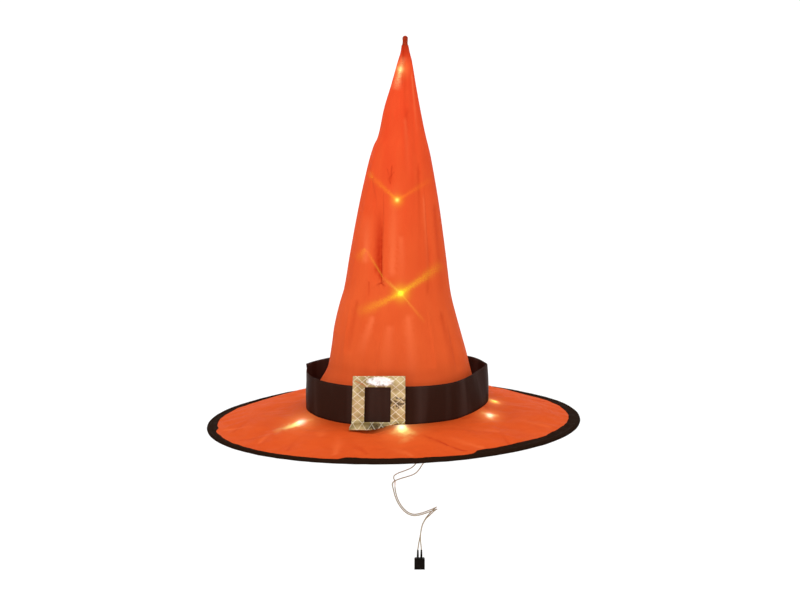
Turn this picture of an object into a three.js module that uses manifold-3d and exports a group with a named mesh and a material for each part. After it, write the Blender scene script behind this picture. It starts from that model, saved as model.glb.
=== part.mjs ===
// Witch hat with a lit crown and brim: a one-seam cloth crown on a hooped cloth brim, a loose satin
// band with a foil buckle, ten LEDs on a light string inside, and a two-wire lead with a connector.
// Millimetres, +Z up. The origin is the centre of the head opening, and -Y is the hat's front.
import * as THREE from "three";
import { mergeVertices } from "three/addons/utils/BufferGeometryUtils.js";
import Module from "manifold-3d";

const wasm = await Module();
wasm.setup();

// ---- Driving dimensions ----

const GAP = 0.3; // between solids that touch on the real hat
const CLOTH = 0.8; // crown and brim cloth, with its stiffening
const TAPE = 0.5; // binding and seam tape

const OPENING_RADIUS = 90; // head opening, to the fold where crown and brim meet
const RIM_RADIUS = 190;
const RIM_DROP = 17.4; // how far the rim hangs below the head opening
const RIM_PITCH = 0.0158; // fall of the rim towards the back, per millimetre
const RIM_TILT = 0.0232; // rise of the brim towards +X, per millimetre
const RIM_SHIFT = -2.5; // the brim is sewn on a little off centre
const CROWN_HEIGHT = 360;
const CROWN_OVERLAP = 1; // the crown's foot covers the fold of the opening
const CROWN_BASE_RADIUS = OPENING_RADIUS + CROWN_OVERLAP;
const TIP_LEAN = 9; // the soft crown leans to +X
const TIP_KNOT_HEIGHT = 9;

const BINDING_WIDTH = 12;
const HOOP_RADIUS = 0.7; // spring wire in the rim
const HOOP_ROOM = 1.9; // half the height of the binding's hollow round the hoop
const FERRULE_LENGTH = 16;
const FERRULE_WALL = 0.3;
const FERRULE_ANGLE = 100; // degrees
const SEAM_TAPE_WIDTH = 12;

const BAND_EASE = 1; // between the crown's foot and the loose band
const BAND_RADIUS = CROWN_BASE_RADIUS + BAND_EASE;
const BAND_THICKNESS = 0.8;
const BAND_WIDTH = 35;

const BUCKLE_WIDTH = 52;
const BUCKLE_HEIGHT = 45; // of the upright part
const BUCKLE_BAR = 12;
const BUCKLE_THICKNESS = 1.5;
const BUCKLE_ANGLE = -99.5; // degrees

const BEAD_RADIUS = 1.8; // LED in its drop of resin
const BEAD_LENGTH = 5;
const STRING_RADIUS = 0.8; // the pair of wires that feeds the LEDs
const PATCH = { length: 16, width: 12, thickness: 0.4 }; // cloth tape over a LED
const JOINT_RADIUS = 1.5; // shrink sleeve between lead and light string
const JOINT_LENGTH = 9;

const LEAD_RADIUS = 0.5;
const SLEEVE = { radius: 1.1, length: 8, taper: 0.25 };
const SPLICE = { radius: 1.2, length: 5, point: 12 }; // at this point of wire A
const CONNECTOR = { width: 10.2, depth: 6, height: 10.8 };
const CONTACT = { side: 1, wall: 0.25, length: 6 };

// Crown outline: share of the height, share of the base radius.
const CROWN_OUTLINE = [
  [0, 1],
  [0.028, 0.934],
  [0.064, 0.865],
  [0.14, 0.768],
  [0.225, 0.692],
  [0.295, 0.622],
  [0.36, 0.566],
  [0.5, 0.488],
  [0.64, 0.384],
  [0.73, 0.297],
  [0.83, 0.195],
  [0.92, 0.108],
  [0.96, 0.07],
  [1, 0.034],
];

// LEDs on the crown's front: share of the height, and side offset in mm.
const CROWN_LEDS = [
  { name: "low", share: 0.336, side: 2.4, patched: true },
  { name: "middle", share: 0.583, side: -2.7, patched: true },
  { name: "top", share: 0.934, side: -2, patched: false },
];

// LEDs under the brim, in the order of the string: degrees, and share of the way out to the rim.
const BRIM_LEDS = [
  { angle: -31, out: 0.19 },
  { angle: 2, out: 0.12 },
  { angle: 50, out: 0.22 },
  { angle: 95, out: 0.25 },
  { angle: 137, out: 0.42 },
  { angle: 217, out: 0.3 },
  { angle: 273, out: 0.25 },
];

// The lead's two conductors hang from inside the front of the head opening. Y is from its front edge.
const LEAD_A = [
  [27, 10, -13.3], [27, 9.8, -18], [26.4, 9, -25], [24.6, 7.8, -32.5], [21.8, 6.7, -39],
  [18.5, 6, -43.5], [15, 5.5, -46.5], [9, 5, -49], [2.5, 5, -51.5], [-1.4, 5, -54], [-2, 5, -56.6],
  [-0.9, 5, -59.4], [-0.8, 5, -62.4], [-0.8, 5, -65.4], [-0.4, 5, -69], [0.7, 5, -74], [3, 5, -80],
  [7, 5, -86.2], [12, 5, -90.8], [17.5, 5, -92.7], [24, 5, -91.8], [31, 5, -89.4],
  [35.5, 5.1, -87.6], [37.8, 5.7, -86.7], [39.3, 7.1, -86.3], [39.7, 8.8, -86.6],
  [38.9, 10.4, -87.7], [37.2, 11.4, -89.5], [33, 11.5, -94], [29.4, 11.2, -98.6], [26.5, 11, -104],
  [25, 11, -109.5], [24.2, 11, -115], [23.3, 10.9, -119.8], [22.4, 10.7, -124.6],
  [21.6, 10.5, -130.2],
];
const LEAD_B = [
  [33, 12.2, -15.3], [33, 11.7, -20], [32.4, 10.3, -26.5], [30.8, 8.4, -33.5], [28.4, 7, -39.5],
  [25, 6, -44.5], [23.3, 5.5, -47.2], [20, 4.5, -50.8], [16.2, 3.9, -53], [9.5, 3.3, -55.1],
  [2.5, 3.1, -57.3], [-2, 3.1, -59.6], [-3.4, 3.7, -62], [-3, 4.6, -65], [-2.1, 5, -69],
  [-0.7, 5, -74.5], [1.8, 5, -80.7], [6, 5, -87.2], [11.4, 5, -92.1], [17.5, 5, -94.1],
  [24.4, 5, -93.2], [31.5, 4.8, -90.8], [35.4, 4.7, -89.3], [38, 5.1, -88.4], [39.7, 6.3, -88.1],
  [40.2, 8, -88.5], [39.3, 9.5, -89.5], [37.3, 10.2, -91.2], [33.2, 10.1, -95.2], [29.3, 9.7, -99],
  [26.4, 9.6, -104.2], [25, 9.6, -109.5], [24.2, 9.6, -115], [24.1, 9.7, -119.8],
  [24.6, 10.1, -124.6], [25.1, 10.5, -130.2],
];

const fromFront = (route) => route.map(([x, y, z]) => [x, y - OPENING_RADIUS, z]);
const leadRoutes = { a: fromFront(LEAD_A), b: fromFront(LEAD_B) };

// ---- Colours ----

const finish = (color, roughness, metalness = 0) =>
  new THREE.MeshStandardMaterial({ color, roughness, metalness });
const ORANGE_CLOTH = finish(0xe2511f, 0.6);
const DARK_RED_KNOT = finish(0x7a1a12, 0.7);
const BLACK_TAPE = finish(0x120e0c, 0.75);
const BLACK_SATIN = finish(0x1b1310, 0.4);
const GOLD_FOIL = finish(0xc9a65c, 0.25, 0.9);
const SPRING_STEEL = finish(0x8c8f92, 0.3, 1);
const THREAD = finish(0x1a1614, 0.8);
const CLEAR_RESIN = finish(0xfff0b8, 0.15);
const WHITE_PATCH = finish(0xe9e4da, 0.8);
const CLEAR_WIRE = finish(0xbfa27a, 0.35);
const BLACK_PLASTIC = finish(0x14110f, 0.5);
const TIN_PLATE = finish(0xb8b4a8, 0.3, 1);

// ---- Shape helpers ----

const radians = THREE.MathUtils.degToRad;

// The brim falls away outside the head opening and tilts, and the crown leans.
function settle(point) {
  const out = Math.max(0, Math.hypot(point.x, point.y) - OPENING_RADIUS) / (RIM_RADIUS - OPENING_RADIUS);
  const up = THREE.MathUtils.clamp(point.z / CROWN_HEIGHT, 0, 1);
  const tilt = RIM_TILT * (1 - up) * point.x;
  return point.set(
    point.x + TIP_LEAN * up ** 1.5 + RIM_SHIFT * out,
    point.y,
    point.z - (RIM_DROP + RIM_PITCH * point.y) * out + tilt,
  );
}

function settled(geometry) {
  const at = geometry.getAttribute("position");
  const point = new THREE.Vector3();
  for (let i = 0; i < at.count; i++) {
    settle(point.fromBufferAttribute(at, i));
    at.setXYZ(i, point.x, point.y, point.z);
  }
  return geometry;
}

// A ring or cap about Z from a closed outline of [radius, height] points.
function turned(outline, segments) {
  const points = outline.map(([r, z]) => new THREE.Vector2(r, z));
  if (THREE.ShapeUtils.area(points) < 0) points.reverse();
  const onAxis = outline[0][0] === 0 && outline[outline.length - 1][0] === 0;
  if (!onAxis) points.push(points[0].clone());
  return new THREE.LatheGeometry(points, segments).rotateX(Math.PI / 2);
}

const RIM_SEGMENTS = 72;
const CROWN_SEGMENTS = 48;

function section(radius, sides) {
  const corners = Array.from({ length: sides }, (_, i) => {
    const turn = (2 * Math.PI * i) / sides;
    return new THREE.Vector2(radius * Math.cos(turn), radius * Math.sin(turn));
  });
  return new THREE.Shape(corners);
}

const smooth = (points) => new THREE.CatmullRomCurve3(points.map((p) => new THREE.Vector3(...p)));

function tube(points, radius, steps, sides = 6) {
  return new THREE.ExtrudeGeometry(section(radius, sides), {
    steps,
    extrudePath: smooth(points),
    bevelEnabled: false,
  });
}

// A straight hollow sleeve along Z, standing on z = 0.
function sleeve(outer, inner, length, tip = outer) {
  return turned([[inner, 0], [outer, 0], [outer, length * 0.75], [tip, length], [inner, length]], 10);
}

function solid(geometry) {
  const bare = geometry.clone();
  bare.deleteAttribute("normal");
  bare.deleteAttribute("uv");
  const merged = mergeVertices(bare, 1e-4);
  return new wasm.Manifold(
    new wasm.Mesh({
      numProp: 3,
      vertProperties: merged.getAttribute("position").array,
      triVerts: new Uint32Array(merged.index.array),
    }),
  );
}

function geometryOf(manifold) {
  const mesh = manifold.getMesh();
  return new THREE.BufferGeometry()
    .setAttribute("position", new THREE.BufferAttribute(new Float32Array(mesh.vertProperties), 3))
    .setIndex(new THREE.BufferAttribute(new Uint32Array(mesh.triVerts), 1));
}

const cut = (body, ...tools) =>
  geometryOf(tools.reduce((left, tool) => left.subtract(solid(tool)), solid(body)));

const box = (width, depth, height) => new THREE.BoxGeometry(width, depth, height);

const hat = new THREE.Group();

function add(name, geometry, material, parent = hat) {
  const mesh = new THREE.Mesh(geometry, material);
  mesh.name = name;
  parent.add(mesh);
  return mesh;
}

// ---- Crown ----

const crownPoints = CROWN_OUTLINE.map(([up, wide]) => [wide * CROWN_BASE_RADIUS, up * CROWN_HEIGHT]);

// Outer radius of the crown at a height, before it leans.
function crownRadius(z) {
  const i = Math.max(1, crownPoints.findIndex(([, height]) => height >= z));
  const [[r0, z0], [r1, z1]] = [crownPoints[i - 1], crownPoints[i]];
  return r0 + ((r1 - r0) * (z - z0)) / (z1 - z0);
}

const BRIM_TOP = CLOTH / 2; // the brim's cloth lies on both sides of z = 0
const crownFoot = BRIM_TOP + GAP;

function addCrown() {
  const outside = crownPoints.map(([r, z]) => [r, Math.max(z, crownFoot)]);
  const inside = outside.slice(0, -1).map(([r, z]) => [r - CLOTH, z]);
  const tipInside = [0, CROWN_HEIGHT - 2 * CLOTH];
  const outline = [[0, CROWN_HEIGHT], ...outside.slice().reverse(), ...inside, tipInside];
  add("crown_cone", settled(turned(outline, CROWN_SEGMENTS)), ORANGE_CLOTH);

  const tip = crownPoints[crownPoints.length - 1][0];
  const foot = CROWN_HEIGHT + GAP;
  const knot = [[0, foot], [tip * 0.9, foot], [tip, foot + TIP_KNOT_HEIGHT * 0.4]];
  knot.push([tip * 0.8, foot + TIP_KNOT_HEIGHT * 0.85], [0, foot + TIP_KNOT_HEIGHT]);
  add("crown_tip_knot", settled(turned(knot, 12)), DARK_RED_KNOT);
}

// Tape over the seam between crown and brim, inside the crown's foot.
function addSeamTape() {
  const low = crownFoot + GAP;
  const high = low + SEAM_TAPE_WIDTH;
  const wall = (z) => crownRadius(z) - CLOTH - GAP;
  const bend = crownPoints[1][1];
  const heights = bend > low && bend < high ? [low, bend, high] : [low, high];
  const outer = heights.map((z) => [wall(z), z]);
  const inner = heights.map((z) => [wall(z) - TAPE, z]).reverse();
  add("opening_tape", settled(turned([...outer, ...inner], CROWN_SEGMENTS)), BLACK_TAPE);
}

// ---- Brim ----

const hoopTrack = RIM_RADIUS - TAPE - HOOP_ROOM; // radius of the hoop's circle

function addBrim() {
  const inner = OPENING_RADIUS - 1;
  const outer = hoopTrack - HOOP_ROOM - GAP;
  const top = [inner, OPENING_RADIUS, outer].map((r) => [r, BRIM_TOP]);
  const bottom = [outer, OPENING_RADIUS, inner].map((r) => [r, -BRIM_TOP]);
  add("brim_panel", settled(turned([...top, ...bottom], RIM_SEGMENTS)), ORANGE_CLOTH);

  const leg = BRIM_TOP + GAP;
  const edge = RIM_RADIUS - BINDING_WIDTH;
  const half = HOOP_ROOM * Math.SQRT1_2;
  const room = [
    [edge, leg],
    [hoopTrack - HOOP_ROOM, leg],
    [hoopTrack - half, half + 0.2],
    [hoopTrack, HOOP_ROOM],
    [hoopTrack + half, half],
    [hoopTrack + HOOP_ROOM, 0],
  ];
  const skin = [
    [RIM_RADIUS, 0],
    [hoopTrack + half + TAPE * 0.7, half + TAPE * 0.7],
    [hoopTrack, HOOP_ROOM + TAPE],
    [hoopTrack - half - TAPE, half + TAPE],
    [hoopTrack - HOOP_ROOM - TAPE, leg + TAPE],
    [edge, leg + TAPE],
  ];
  const under = (points) => points.filter(([, z]) => z > 0).map(([r, z]) => [r, -z]);
  const outline = [...room, ...under(room).reverse(), ...under(skin).reverse(), ...skin];
  add("brim_binding", settled(turned(outline, RIM_SEGMENTS)), BLACK_TAPE);
}

const polar = (radius, degrees, z = 0) => [
  radius * Math.cos(radians(degrees)),
  radius * Math.sin(radians(degrees)),
  z,
];

function addHoop() {
  const span = 359.4; // the ends meet inside the ferrule
  const stations = Array.from({ length: RIM_SEGMENTS + 1 }, (_, i) =>
    polar(hoopTrack, FERRULE_ANGLE + 0.3 + (span * i) / RIM_SEGMENTS),
  );
  add("brim_hoop", settled(tube(stations, HOOP_RADIUS, RIM_SEGMENTS)), SPRING_STEEL);

  const bore = HOOP_RADIUS + GAP;
  const shell = sleeve(bore + FERRULE_WALL, bore, FERRULE_LENGTH)
    .translate(0, 0, -FERRULE_LENGTH / 2)
    .rotateX(Math.PI / 2)
    .translate(hoopTrack, 0, 0)
    .rotateZ(radians(FERRULE_ANGLE));
  add("hoop_ferrule", settled(shell), SPRING_STEEL);
}

// ---- Band and buckle ----

const bandFoot = BRIM_TOP + GAP;

function addBand() {
  const [inner, outer] = [BAND_RADIUS, BAND_RADIUS + BAND_THICKNESS];
  const top = bandFoot + BAND_WIDTH;
  const outline = [[inner, bandFoot], [outer, bandFoot], [outer, top], [inner, top]];
  add("hat_band", settled(turned(outline, CROWN_SEGMENTS)), BLACK_SATIN);

  // Thread tacks between the band and the crown's foot.
  const height = 3;
  const z = bandFoot + 1.5 * height;
  const hold = BAND_RADIUS - crownRadius(z - height / 2) - 3 * GAP;
  for (const [name, degrees] of [["front", -78], ["back", 90]]) {
    const tack = box(hold, 6, height)
      .translate(BAND_RADIUS - 1.5 * GAP - hold / 2, 0, z)
      .rotateZ(radians(degrees));
    add(`band_tack_${name}`, settled(tack), THREAD);
  }
}

// The frame stands in front of the band, and its bottom bar lies bent out on the brim.
function addBuckle() {
  const back = BAND_RADIUS + BAND_THICKNESS + GAP;
  const face = back + BUCKLE_THICKNESS;
  const foot = BRIM_TOP + 2 * GAP;
  const top = foot + BUCKLE_HEIGHT;
  const lip = foot + BUCKLE_THICKNESS;
  const toe = back + BUCKLE_BAR;
  const side = [[back, top], [back, foot], [toe, foot], [toe, lip], [face + 1, lip], [face, lip + 1], [face, top]];
  const profile = new THREE.Shape(side.map(([out, z]) => new THREE.Vector2(out, z)));
  const plate = new THREE.ExtrudeGeometry(profile, { depth: BUCKLE_WIDTH, steps: 10, bevelEnabled: false })
    .translate(0, 0, -BUCKLE_WIDTH / 2)
    .rotateX(Math.PI / 2)
    .rotateZ(radians(BUCKLE_ANGLE));
  const windowFoot = lip + 2;
  const windowHeight = top - BUCKLE_BAR - windowFoot;
  const window = box(4 * BUCKLE_THICKNESS, BUCKLE_WIDTH - 2 * BUCKLE_BAR, windowHeight)
    .translate((back + face) / 2, 0, windowFoot + windowHeight / 2)
    .rotateZ(radians(BUCKLE_ANGLE));
  add("buckle_frame", cut(settled(plate), window), GOLD_FOIL);

  // The flat frame stands off the round band at its sides, where two tacks hold it.
  const reach = BUCKLE_WIDTH / 2 - BUCKLE_BAR / 2;
  const bandHere = Math.sqrt((BAND_RADIUS + BAND_THICKNESS) ** 2 - reach ** 2);
  const depth = back - bandHere - 3 * GAP;
  for (const [name, across] of [["left", -reach], ["right", reach]]) {
    const tack = box(depth, 3, 12)
      .translate(back - 1.2 * GAP - depth / 2, across, bandFoot + BAND_WIDTH / 2)
      .rotateZ(radians(BUCKLE_ANGLE));
    add(`buckle_tack_${name}`, settled(tack), THREAD);
  }
}

// ---- Lights ----

const bead = () => new THREE.CapsuleGeometry(BEAD_RADIUS, BEAD_LENGTH - 2 * BEAD_RADIUS, 3, 10);
const patch = () => box(PATCH.length, PATCH.width, PATCH.thickness);

// Depths under the cloth, from its hidden face: bead, string and patch lie on each other.
const beadDepth = 1.5 * GAP + BEAD_RADIUS;
const stringDepth = beadDepth + BEAD_RADIUS + 1.5 * GAP + STRING_RADIUS;
const patchDepth = stringDepth + STRING_RADIUS + 1.5 * GAP + PATCH.thickness / 2;

// A place inside the crown's front, under its cloth by a depth.
function insideFront(z, side, depth) {
  const wall = crownRadius(z) - CLOTH;
  return [side, -Math.sqrt(wall ** 2 - side ** 2) + depth, z];
}

function wallLean(z) {
  const step = 2;
  return Math.atan((crownRadius(z - step) - crownRadius(z + step)) / (2 * step));
}

function addCrownLights() {
  const stations = [];
  for (const led of CROWN_LEDS) {
    const z = led.share * CROWN_HEIGHT;
    const lean = wallLean(z);
    const slant = 1 / Math.cos(lean);
    const at = (depth) => settle(new THREE.Vector3(...insideFront(z, led.side, depth * slant)));
    const light = add(`led_crown_${led.name}`, bead().rotateX(Math.PI / 2), CLEAR_RESIN);
    light.position.copy(at(beadDepth));
    light.rotation.x = -lean;
    if (led.patched) {
      const tape = add(`led_patch_crown_${led.name}`, patch().rotateX(Math.PI / 2), WHITE_PATCH);
      tape.position.copy(at(patchDepth));
      tape.rotation.x = -lean;
    }
    stations.push({ z, side: led.side, depth: stringDepth * slant });
  }
  const [low, middle, top] = stations;
  const between = (a, b, share) => ({
    z: a.z + (b.z - a.z) * share,
    side: a.side + (b.side - a.side) * share,
    depth: a.depth,
  });
  const foot = { z: SEAM_TAPE_WIDTH + 8, side: 20, depth: stringDepth };
  const climb = [foot, between(foot, low, 0.3), between(foot, low, 0.65), low];
  climb.push(between(low, middle, 0.35), between(low, middle, 0.7), middle);
  climb.push(between(middle, top, 0.35), between(middle, top, 0.7), top);
  const points = climb.map(({ z, side, depth }) => insideFront(z, side, depth));
  const [x, y, z] = leadRoutes.a[0];
  const start = z + GAP + JOINT_LENGTH + GAP;
  const route = [[x, y, start], [x, y + 0.5, start + 5], [x - 2, y + 4, SEAM_TAPE_WIDTH], ...points];
  add("light_string_crown", settled(tube(route, STRING_RADIUS, 46)), CLEAR_WIRE);
}

function addBrimLights() {
  const underside = -BRIM_TOP;
  const reach = (out) => OPENING_RADIUS + out * (RIM_RADIUS - OPENING_RADIUS);
  const slope = Math.atan(RIM_DROP / (RIM_RADIUS - OPENING_RADIUS));
  BRIM_LEDS.forEach(({ angle, out }, i) => {
    const place = (depth) => settle(new THREE.Vector3(...polar(reach(out), angle, underside - depth)));
    const light = add(`led_brim_${i + 1}`, bead(), CLEAR_RESIN);
    light.position.copy(place(beadDepth));
    light.rotation.z = radians(angle);
    const spot = new THREE.Group();
    spot.position.copy(place(patchDepth));
    spot.rotation.z = radians(angle + 90);
    hat.add(spot);
    add(`led_patch_brim_${i + 1}`, patch().rotateX(slope), WHITE_PATCH, spot);
  });
  const [x, y, z] = leadRoutes.b[0];
  const start = z + GAP + JOINT_LENGTH + GAP;
  const level = underside - stringDepth;
  const crest = underside - GAP - 2 * STRING_RADIUS;
  const around = (out, angle) => polar(reach(out), angle, level);
  const hook = [[x, y, start], [x + 0.2, y - 0.4, (start + crest) / 2], [x + 1.4, y - 3, crest]];
  const route = [...hook, polar(reach(0), -63, crest), around(0.09, -54)];
  BRIM_LEDS.forEach(({ angle, out }, i) => {
    route.push(around(out, angle));
    const next = BRIM_LEDS[i + 1];
    if (next) route.push(around((out + next.out) / 2, (angle + next.angle) / 2));
  });
  add("light_string_brim", settled(tube(route, STRING_RADIUS, 70)), CLEAR_WIRE);
}

// ---- Lead ----

function addLead() {
  for (const [letter, route] of Object.entries(leadRoutes)) {
    add(`lead_wire_${letter}`, tube(route, LEAD_RADIUS, 56, 8), CLEAR_WIRE);

    const [x, y, z] = route[0];
    const joint = add(`string_joint_${letter}`, turned(
      [[0, 0], [JOINT_RADIUS, 0], [JOINT_RADIUS, JOINT_LENGTH], [0, JOINT_LENGTH]], 10), BLACK_PLASTIC);
    joint.position.set(x, y, z + GAP);
    const tilt = RIM_TILT * x; // the string's end has settled with the hat
    joint.scale.z = (JOINT_LENGTH + tilt) / JOINT_LENGTH;
  }

  const spliceTop = leadRoutes.a[SPLICE.point];
  const splice = add("lead_splice", sleeve(SPLICE.radius, LEAD_RADIUS + GAP, SPLICE.length), CLEAR_RESIN);
  splice.position.set(spliceTop[0], spliceTop[1], spliceTop[2] - SPLICE.length / 2);

  const ends = Object.values(leadRoutes).map((route) => new THREE.Vector3(...route.at(-1)));
  const middle = ends[0].clone().add(ends[1]).multiplyScalar(0.5);
  const plug = new THREE.Group();
  plug.position.set(middle.x, middle.y, middle.z - 2 * GAP - SLEEVE.length);
  hat.add(plug);

  const sockets = [];
  ends.forEach((end, i) => {
    const letter = "ab"[i];
    const boot = add(`lead_sleeve_${letter}`, turned([
      [0, 0],
      [SLEEVE.radius, 0],
      [SLEEVE.radius - SLEEVE.taper, SLEEVE.length],
      [0, SLEEVE.length],
    ], 10), BLACK_PLASTIC, plug);
    boot.position.set(end.x - middle.x, 0, GAP);
    const pitch = end.x - middle.x;
    const socket = box(CONTACT.side + 2 * GAP, CONTACT.side + 2 * GAP, CONTACT.length + 2 * GAP);
    sockets.push(socket.translate(pitch, 0, -CONNECTOR.height + CONTACT.length / 2));
    const bore = box(CONTACT.side - 2 * CONTACT.wall, CONTACT.side - 2 * CONTACT.wall, CONTACT.length);
    const shell = cut(box(CONTACT.side, CONTACT.side, CONTACT.length), bore.translate(0, 0, -1));
    const contact = add(`contact_${letter}`, shell, TIN_PLATE, plug);
    contact.position.set(pitch, 0, -CONNECTOR.height + CONTACT.length / 2 + GAP / 3);
  });
  const block = box(CONNECTOR.width, CONNECTOR.depth, CONNECTOR.height).translate(0, 0, -CONNECTOR.height / 2);
  add("connector_housing", cut(block, ...sockets), BLACK_PLASTIC, plug);
}

addCrown();
addSeamTape();
addBrim();
addHoop();
addBand();
addBuckle();
addCrownLights();
addBrimLights();
addLead();

export default hat;
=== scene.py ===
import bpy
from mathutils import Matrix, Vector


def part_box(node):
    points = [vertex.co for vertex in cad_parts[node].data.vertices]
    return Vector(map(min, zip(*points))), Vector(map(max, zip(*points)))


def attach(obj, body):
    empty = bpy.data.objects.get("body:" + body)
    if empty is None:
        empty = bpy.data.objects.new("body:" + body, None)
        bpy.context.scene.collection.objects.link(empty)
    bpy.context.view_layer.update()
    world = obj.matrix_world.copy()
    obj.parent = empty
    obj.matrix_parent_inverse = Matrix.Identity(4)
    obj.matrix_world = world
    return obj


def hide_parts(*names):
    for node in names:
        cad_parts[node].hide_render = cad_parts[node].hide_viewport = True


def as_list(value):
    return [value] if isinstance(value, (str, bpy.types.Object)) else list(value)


bl_info = {
    "name": "Lit Witch Hat",
    "version": (1, 0, 0),
    "blender": (4, 5, 0),
    "location": "3D View > Sidebar > Witch Hat",
    "description": "Builds the cloth, foil, lights and lead of a costume witch hat round its frame",
    "category": "Add Mesh",
}

import math

import bmesh
import bpy
from mathutils import Matrix, Vector, noise

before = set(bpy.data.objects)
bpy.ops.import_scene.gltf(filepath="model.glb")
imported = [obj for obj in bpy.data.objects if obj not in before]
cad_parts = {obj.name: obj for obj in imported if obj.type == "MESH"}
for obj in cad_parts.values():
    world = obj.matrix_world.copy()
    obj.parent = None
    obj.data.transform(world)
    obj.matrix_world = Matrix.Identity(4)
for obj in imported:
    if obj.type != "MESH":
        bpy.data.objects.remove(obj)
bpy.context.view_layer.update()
MM = 0.001


def node_box(name):
    """Lowest and highest corner of a CAD node, in millimetres."""
    low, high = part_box(name)
    return low / MM, high / MM


CROWN_HIGH = node_box("crown_cone")[1]
BRIM_LOW, BRIM_HIGH = node_box("brim_binding")
PLUG_LOW, PLUG_HIGH = node_box("connector_housing")
HALF_TURN = 180
FULL_TURN = 360


def foot_of(name):
    """Middle of a CAD node's lowest face, with the node's width and height."""
    low, high = node_box(name)
    foot = Vector(((low.x + high.x) / 2, (low.y + high.y) / 2, low.z))
    return foot, high.x - low.x, high.z - low.z


# ---- Sizes and colours a user would change ----


def length_property(name, description, default):
    return bpy.props.FloatProperty(
        name=name, description=description, default=default * MM, unit="LENGTH", precision=5
    )


def colour_property(name, description, default):
    return bpy.props.FloatVectorProperty(
        name=name, description=description, default=default, size=3, subtype="COLOR", min=0, max=1
    )


class HatSizes(bpy.types.PropertyGroup):
    opening: length_property("Head opening", "Radius of the fold between crown and brim", 90)
    rim: length_property("Rim", "Radius of the brim", (BRIM_HIGH.x - BRIM_LOW.x) / 2)
    rim_drop: length_property("Rim drop", "How far the rim hangs below the head opening", 17.4)
    cloth: length_property("Cloth", "Thickness of crown and brim cloth", 0.4)
    binding: length_property("Binding", "Width of the rim's black binding", 12)
    roll: length_property("Rim roll", "Radius of the binding's rolled edge round the hoop", 2.1)
    band: length_property("Band", "Width of the satin band", 35.5)
    buckle: length_property("Buckle", "Width of the foil buckle", 51)
    wire: length_property("Lead wire", "Diameter of one lead wire", 1)
    tilt: bpy.props.FloatProperty(
        name="Tilt", description="Rise of the brim towards +X", default=0.0232, precision=4
    )
    pitch: bpy.props.FloatProperty(
        name="Pitch", description="Fall of the rim towards the back", default=0.0158, precision=4
    )


class HatColours(bpy.types.PropertyGroup):
    cloth: colour_property("Cloth", "Orange of crown and brim", (0.76, 0.106, 0.025))
    cloth_deep: colour_property("Cloth, deep", "Redder orange near the tip", (0.86, 0.06, 0.018))
    knot: colour_property("Tip knot", "Dark red rolled cloth", (0.3, 0.02, 0.006))
    tape: colour_property("Binding", "Black woven tape", (0.019, 0.0085, 0.0045))
    satin: colour_property("Band", "Brownish black satin", (0.032, 0.0125, 0.008))
    foil: colour_property("Foil", "Gold of the buckle's foil", (0.34, 0.235, 0.085))
    wire: colour_property("Wire", "Copper strands in clear insulation", (0.24, 0.17, 0.09))
    plastic: colour_property("Plastic", "Connector and sleeves", (0.006, 0.004, 0.003))
    stage: colour_property("Stage", "Pale floor", (0.93, 0.93, 0.93))


def sizes():
    return bpy.context.scene.hat_sizes


def colours():
    return bpy.context.scene.hat_colours


# ---- Curves and surfaces, in millimetres ----


def smooth_step(low, high, value):
    share = min(1, max(0, (value - low) / (high - low)))
    return share * share * (3 - 2 * share)


def bell(distance, width):
    return math.exp(-((distance / width) ** 2))


def follow(outline, place):
    """Value at a place along an outline of (place, value) points, on a smooth curve through them."""
    last = len(outline) - 1
    i = next((k for k in range(1, last) if outline[k][0] >= place), last)
    (p1, v1), (p2, v2) = outline[i - 1], outline[i]

    def slope(k):
        (pa, va), (pb, vb) = outline[max(0, k - 1)], outline[min(last, k + 1)]
        return (vb - va) / (pb - pa)

    span = p2 - p1
    t = min(1, max(0, (place - p1) / span))
    a, b = 2 * t**3 - 3 * t**2 + 1, t**3 - 2 * t**2 + t
    c, d = 3 * t**2 - 2 * t**3, t**3 - t**2
    return a * v1 + b * span * slope(i - 1) + c * v2 + d * span * slope(i)


def around(outline, degrees):
    """Value at an angle along a closed outline of (degrees, value) points in rising order."""
    turned = [(a - FULL_TURN, v) for a, v in outline[-2:]] + list(outline)
    turned += [(a + FULL_TURN, v) for a, v in outline[:2]]
    return follow(turned, degrees % FULL_TURN)


def turn_from(degrees, other):
    """How far one angle is past another, from -180 to 180 degrees."""
    return (degrees - other + HALF_TURN) % FULL_TURN - HALF_TURN


def distance_on_brim(radius, degrees, other_radius, other_degrees):
    """Distance between two places on the brim, near enough where they are close together."""
    away = math.radians(turn_from(degrees, other_degrees)) * radius
    return math.hypot(away, radius - other_radius)


def ripple(x, y, z, seed):
    """Smooth noise from -1 to 1, the same at each run."""
    return noise.noise(Vector((x + 17.3 * seed, y - 9.1 * seed, z + 5.7 * seed)))


def share_out(x, y):
    s = sizes()
    return max(0, math.hypot(x, y) - s.opening / MM) / ((s.rim - s.opening) / MM)


RIM_SHIFT = -2.5  # the brim is sewn on a little off centre


def brim_point(radius, degrees, height=0.0):
    """A point on the settled brim: it falls to the rim, tilts and waves."""
    turn = math.radians(degrees)
    x, y = radius * math.cos(turn), radius * math.sin(turn)
    out = share_out(x, y)
    fall = sizes().rim_drop / MM + sizes().pitch * y
    z = height - out * fall + sizes().tilt * x + brim_wave(degrees, out)
    return Vector((x + RIM_SHIFT * out, y, z))


def front_sink(degrees):
    """How far the cloth sinks round the front of the opening, where the buckle's weight hangs."""
    degrees %= FULL_TURN
    return 1.7 * (smooth_step(205, 245, degrees) - smooth_step(305, 335, degrees))


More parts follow.
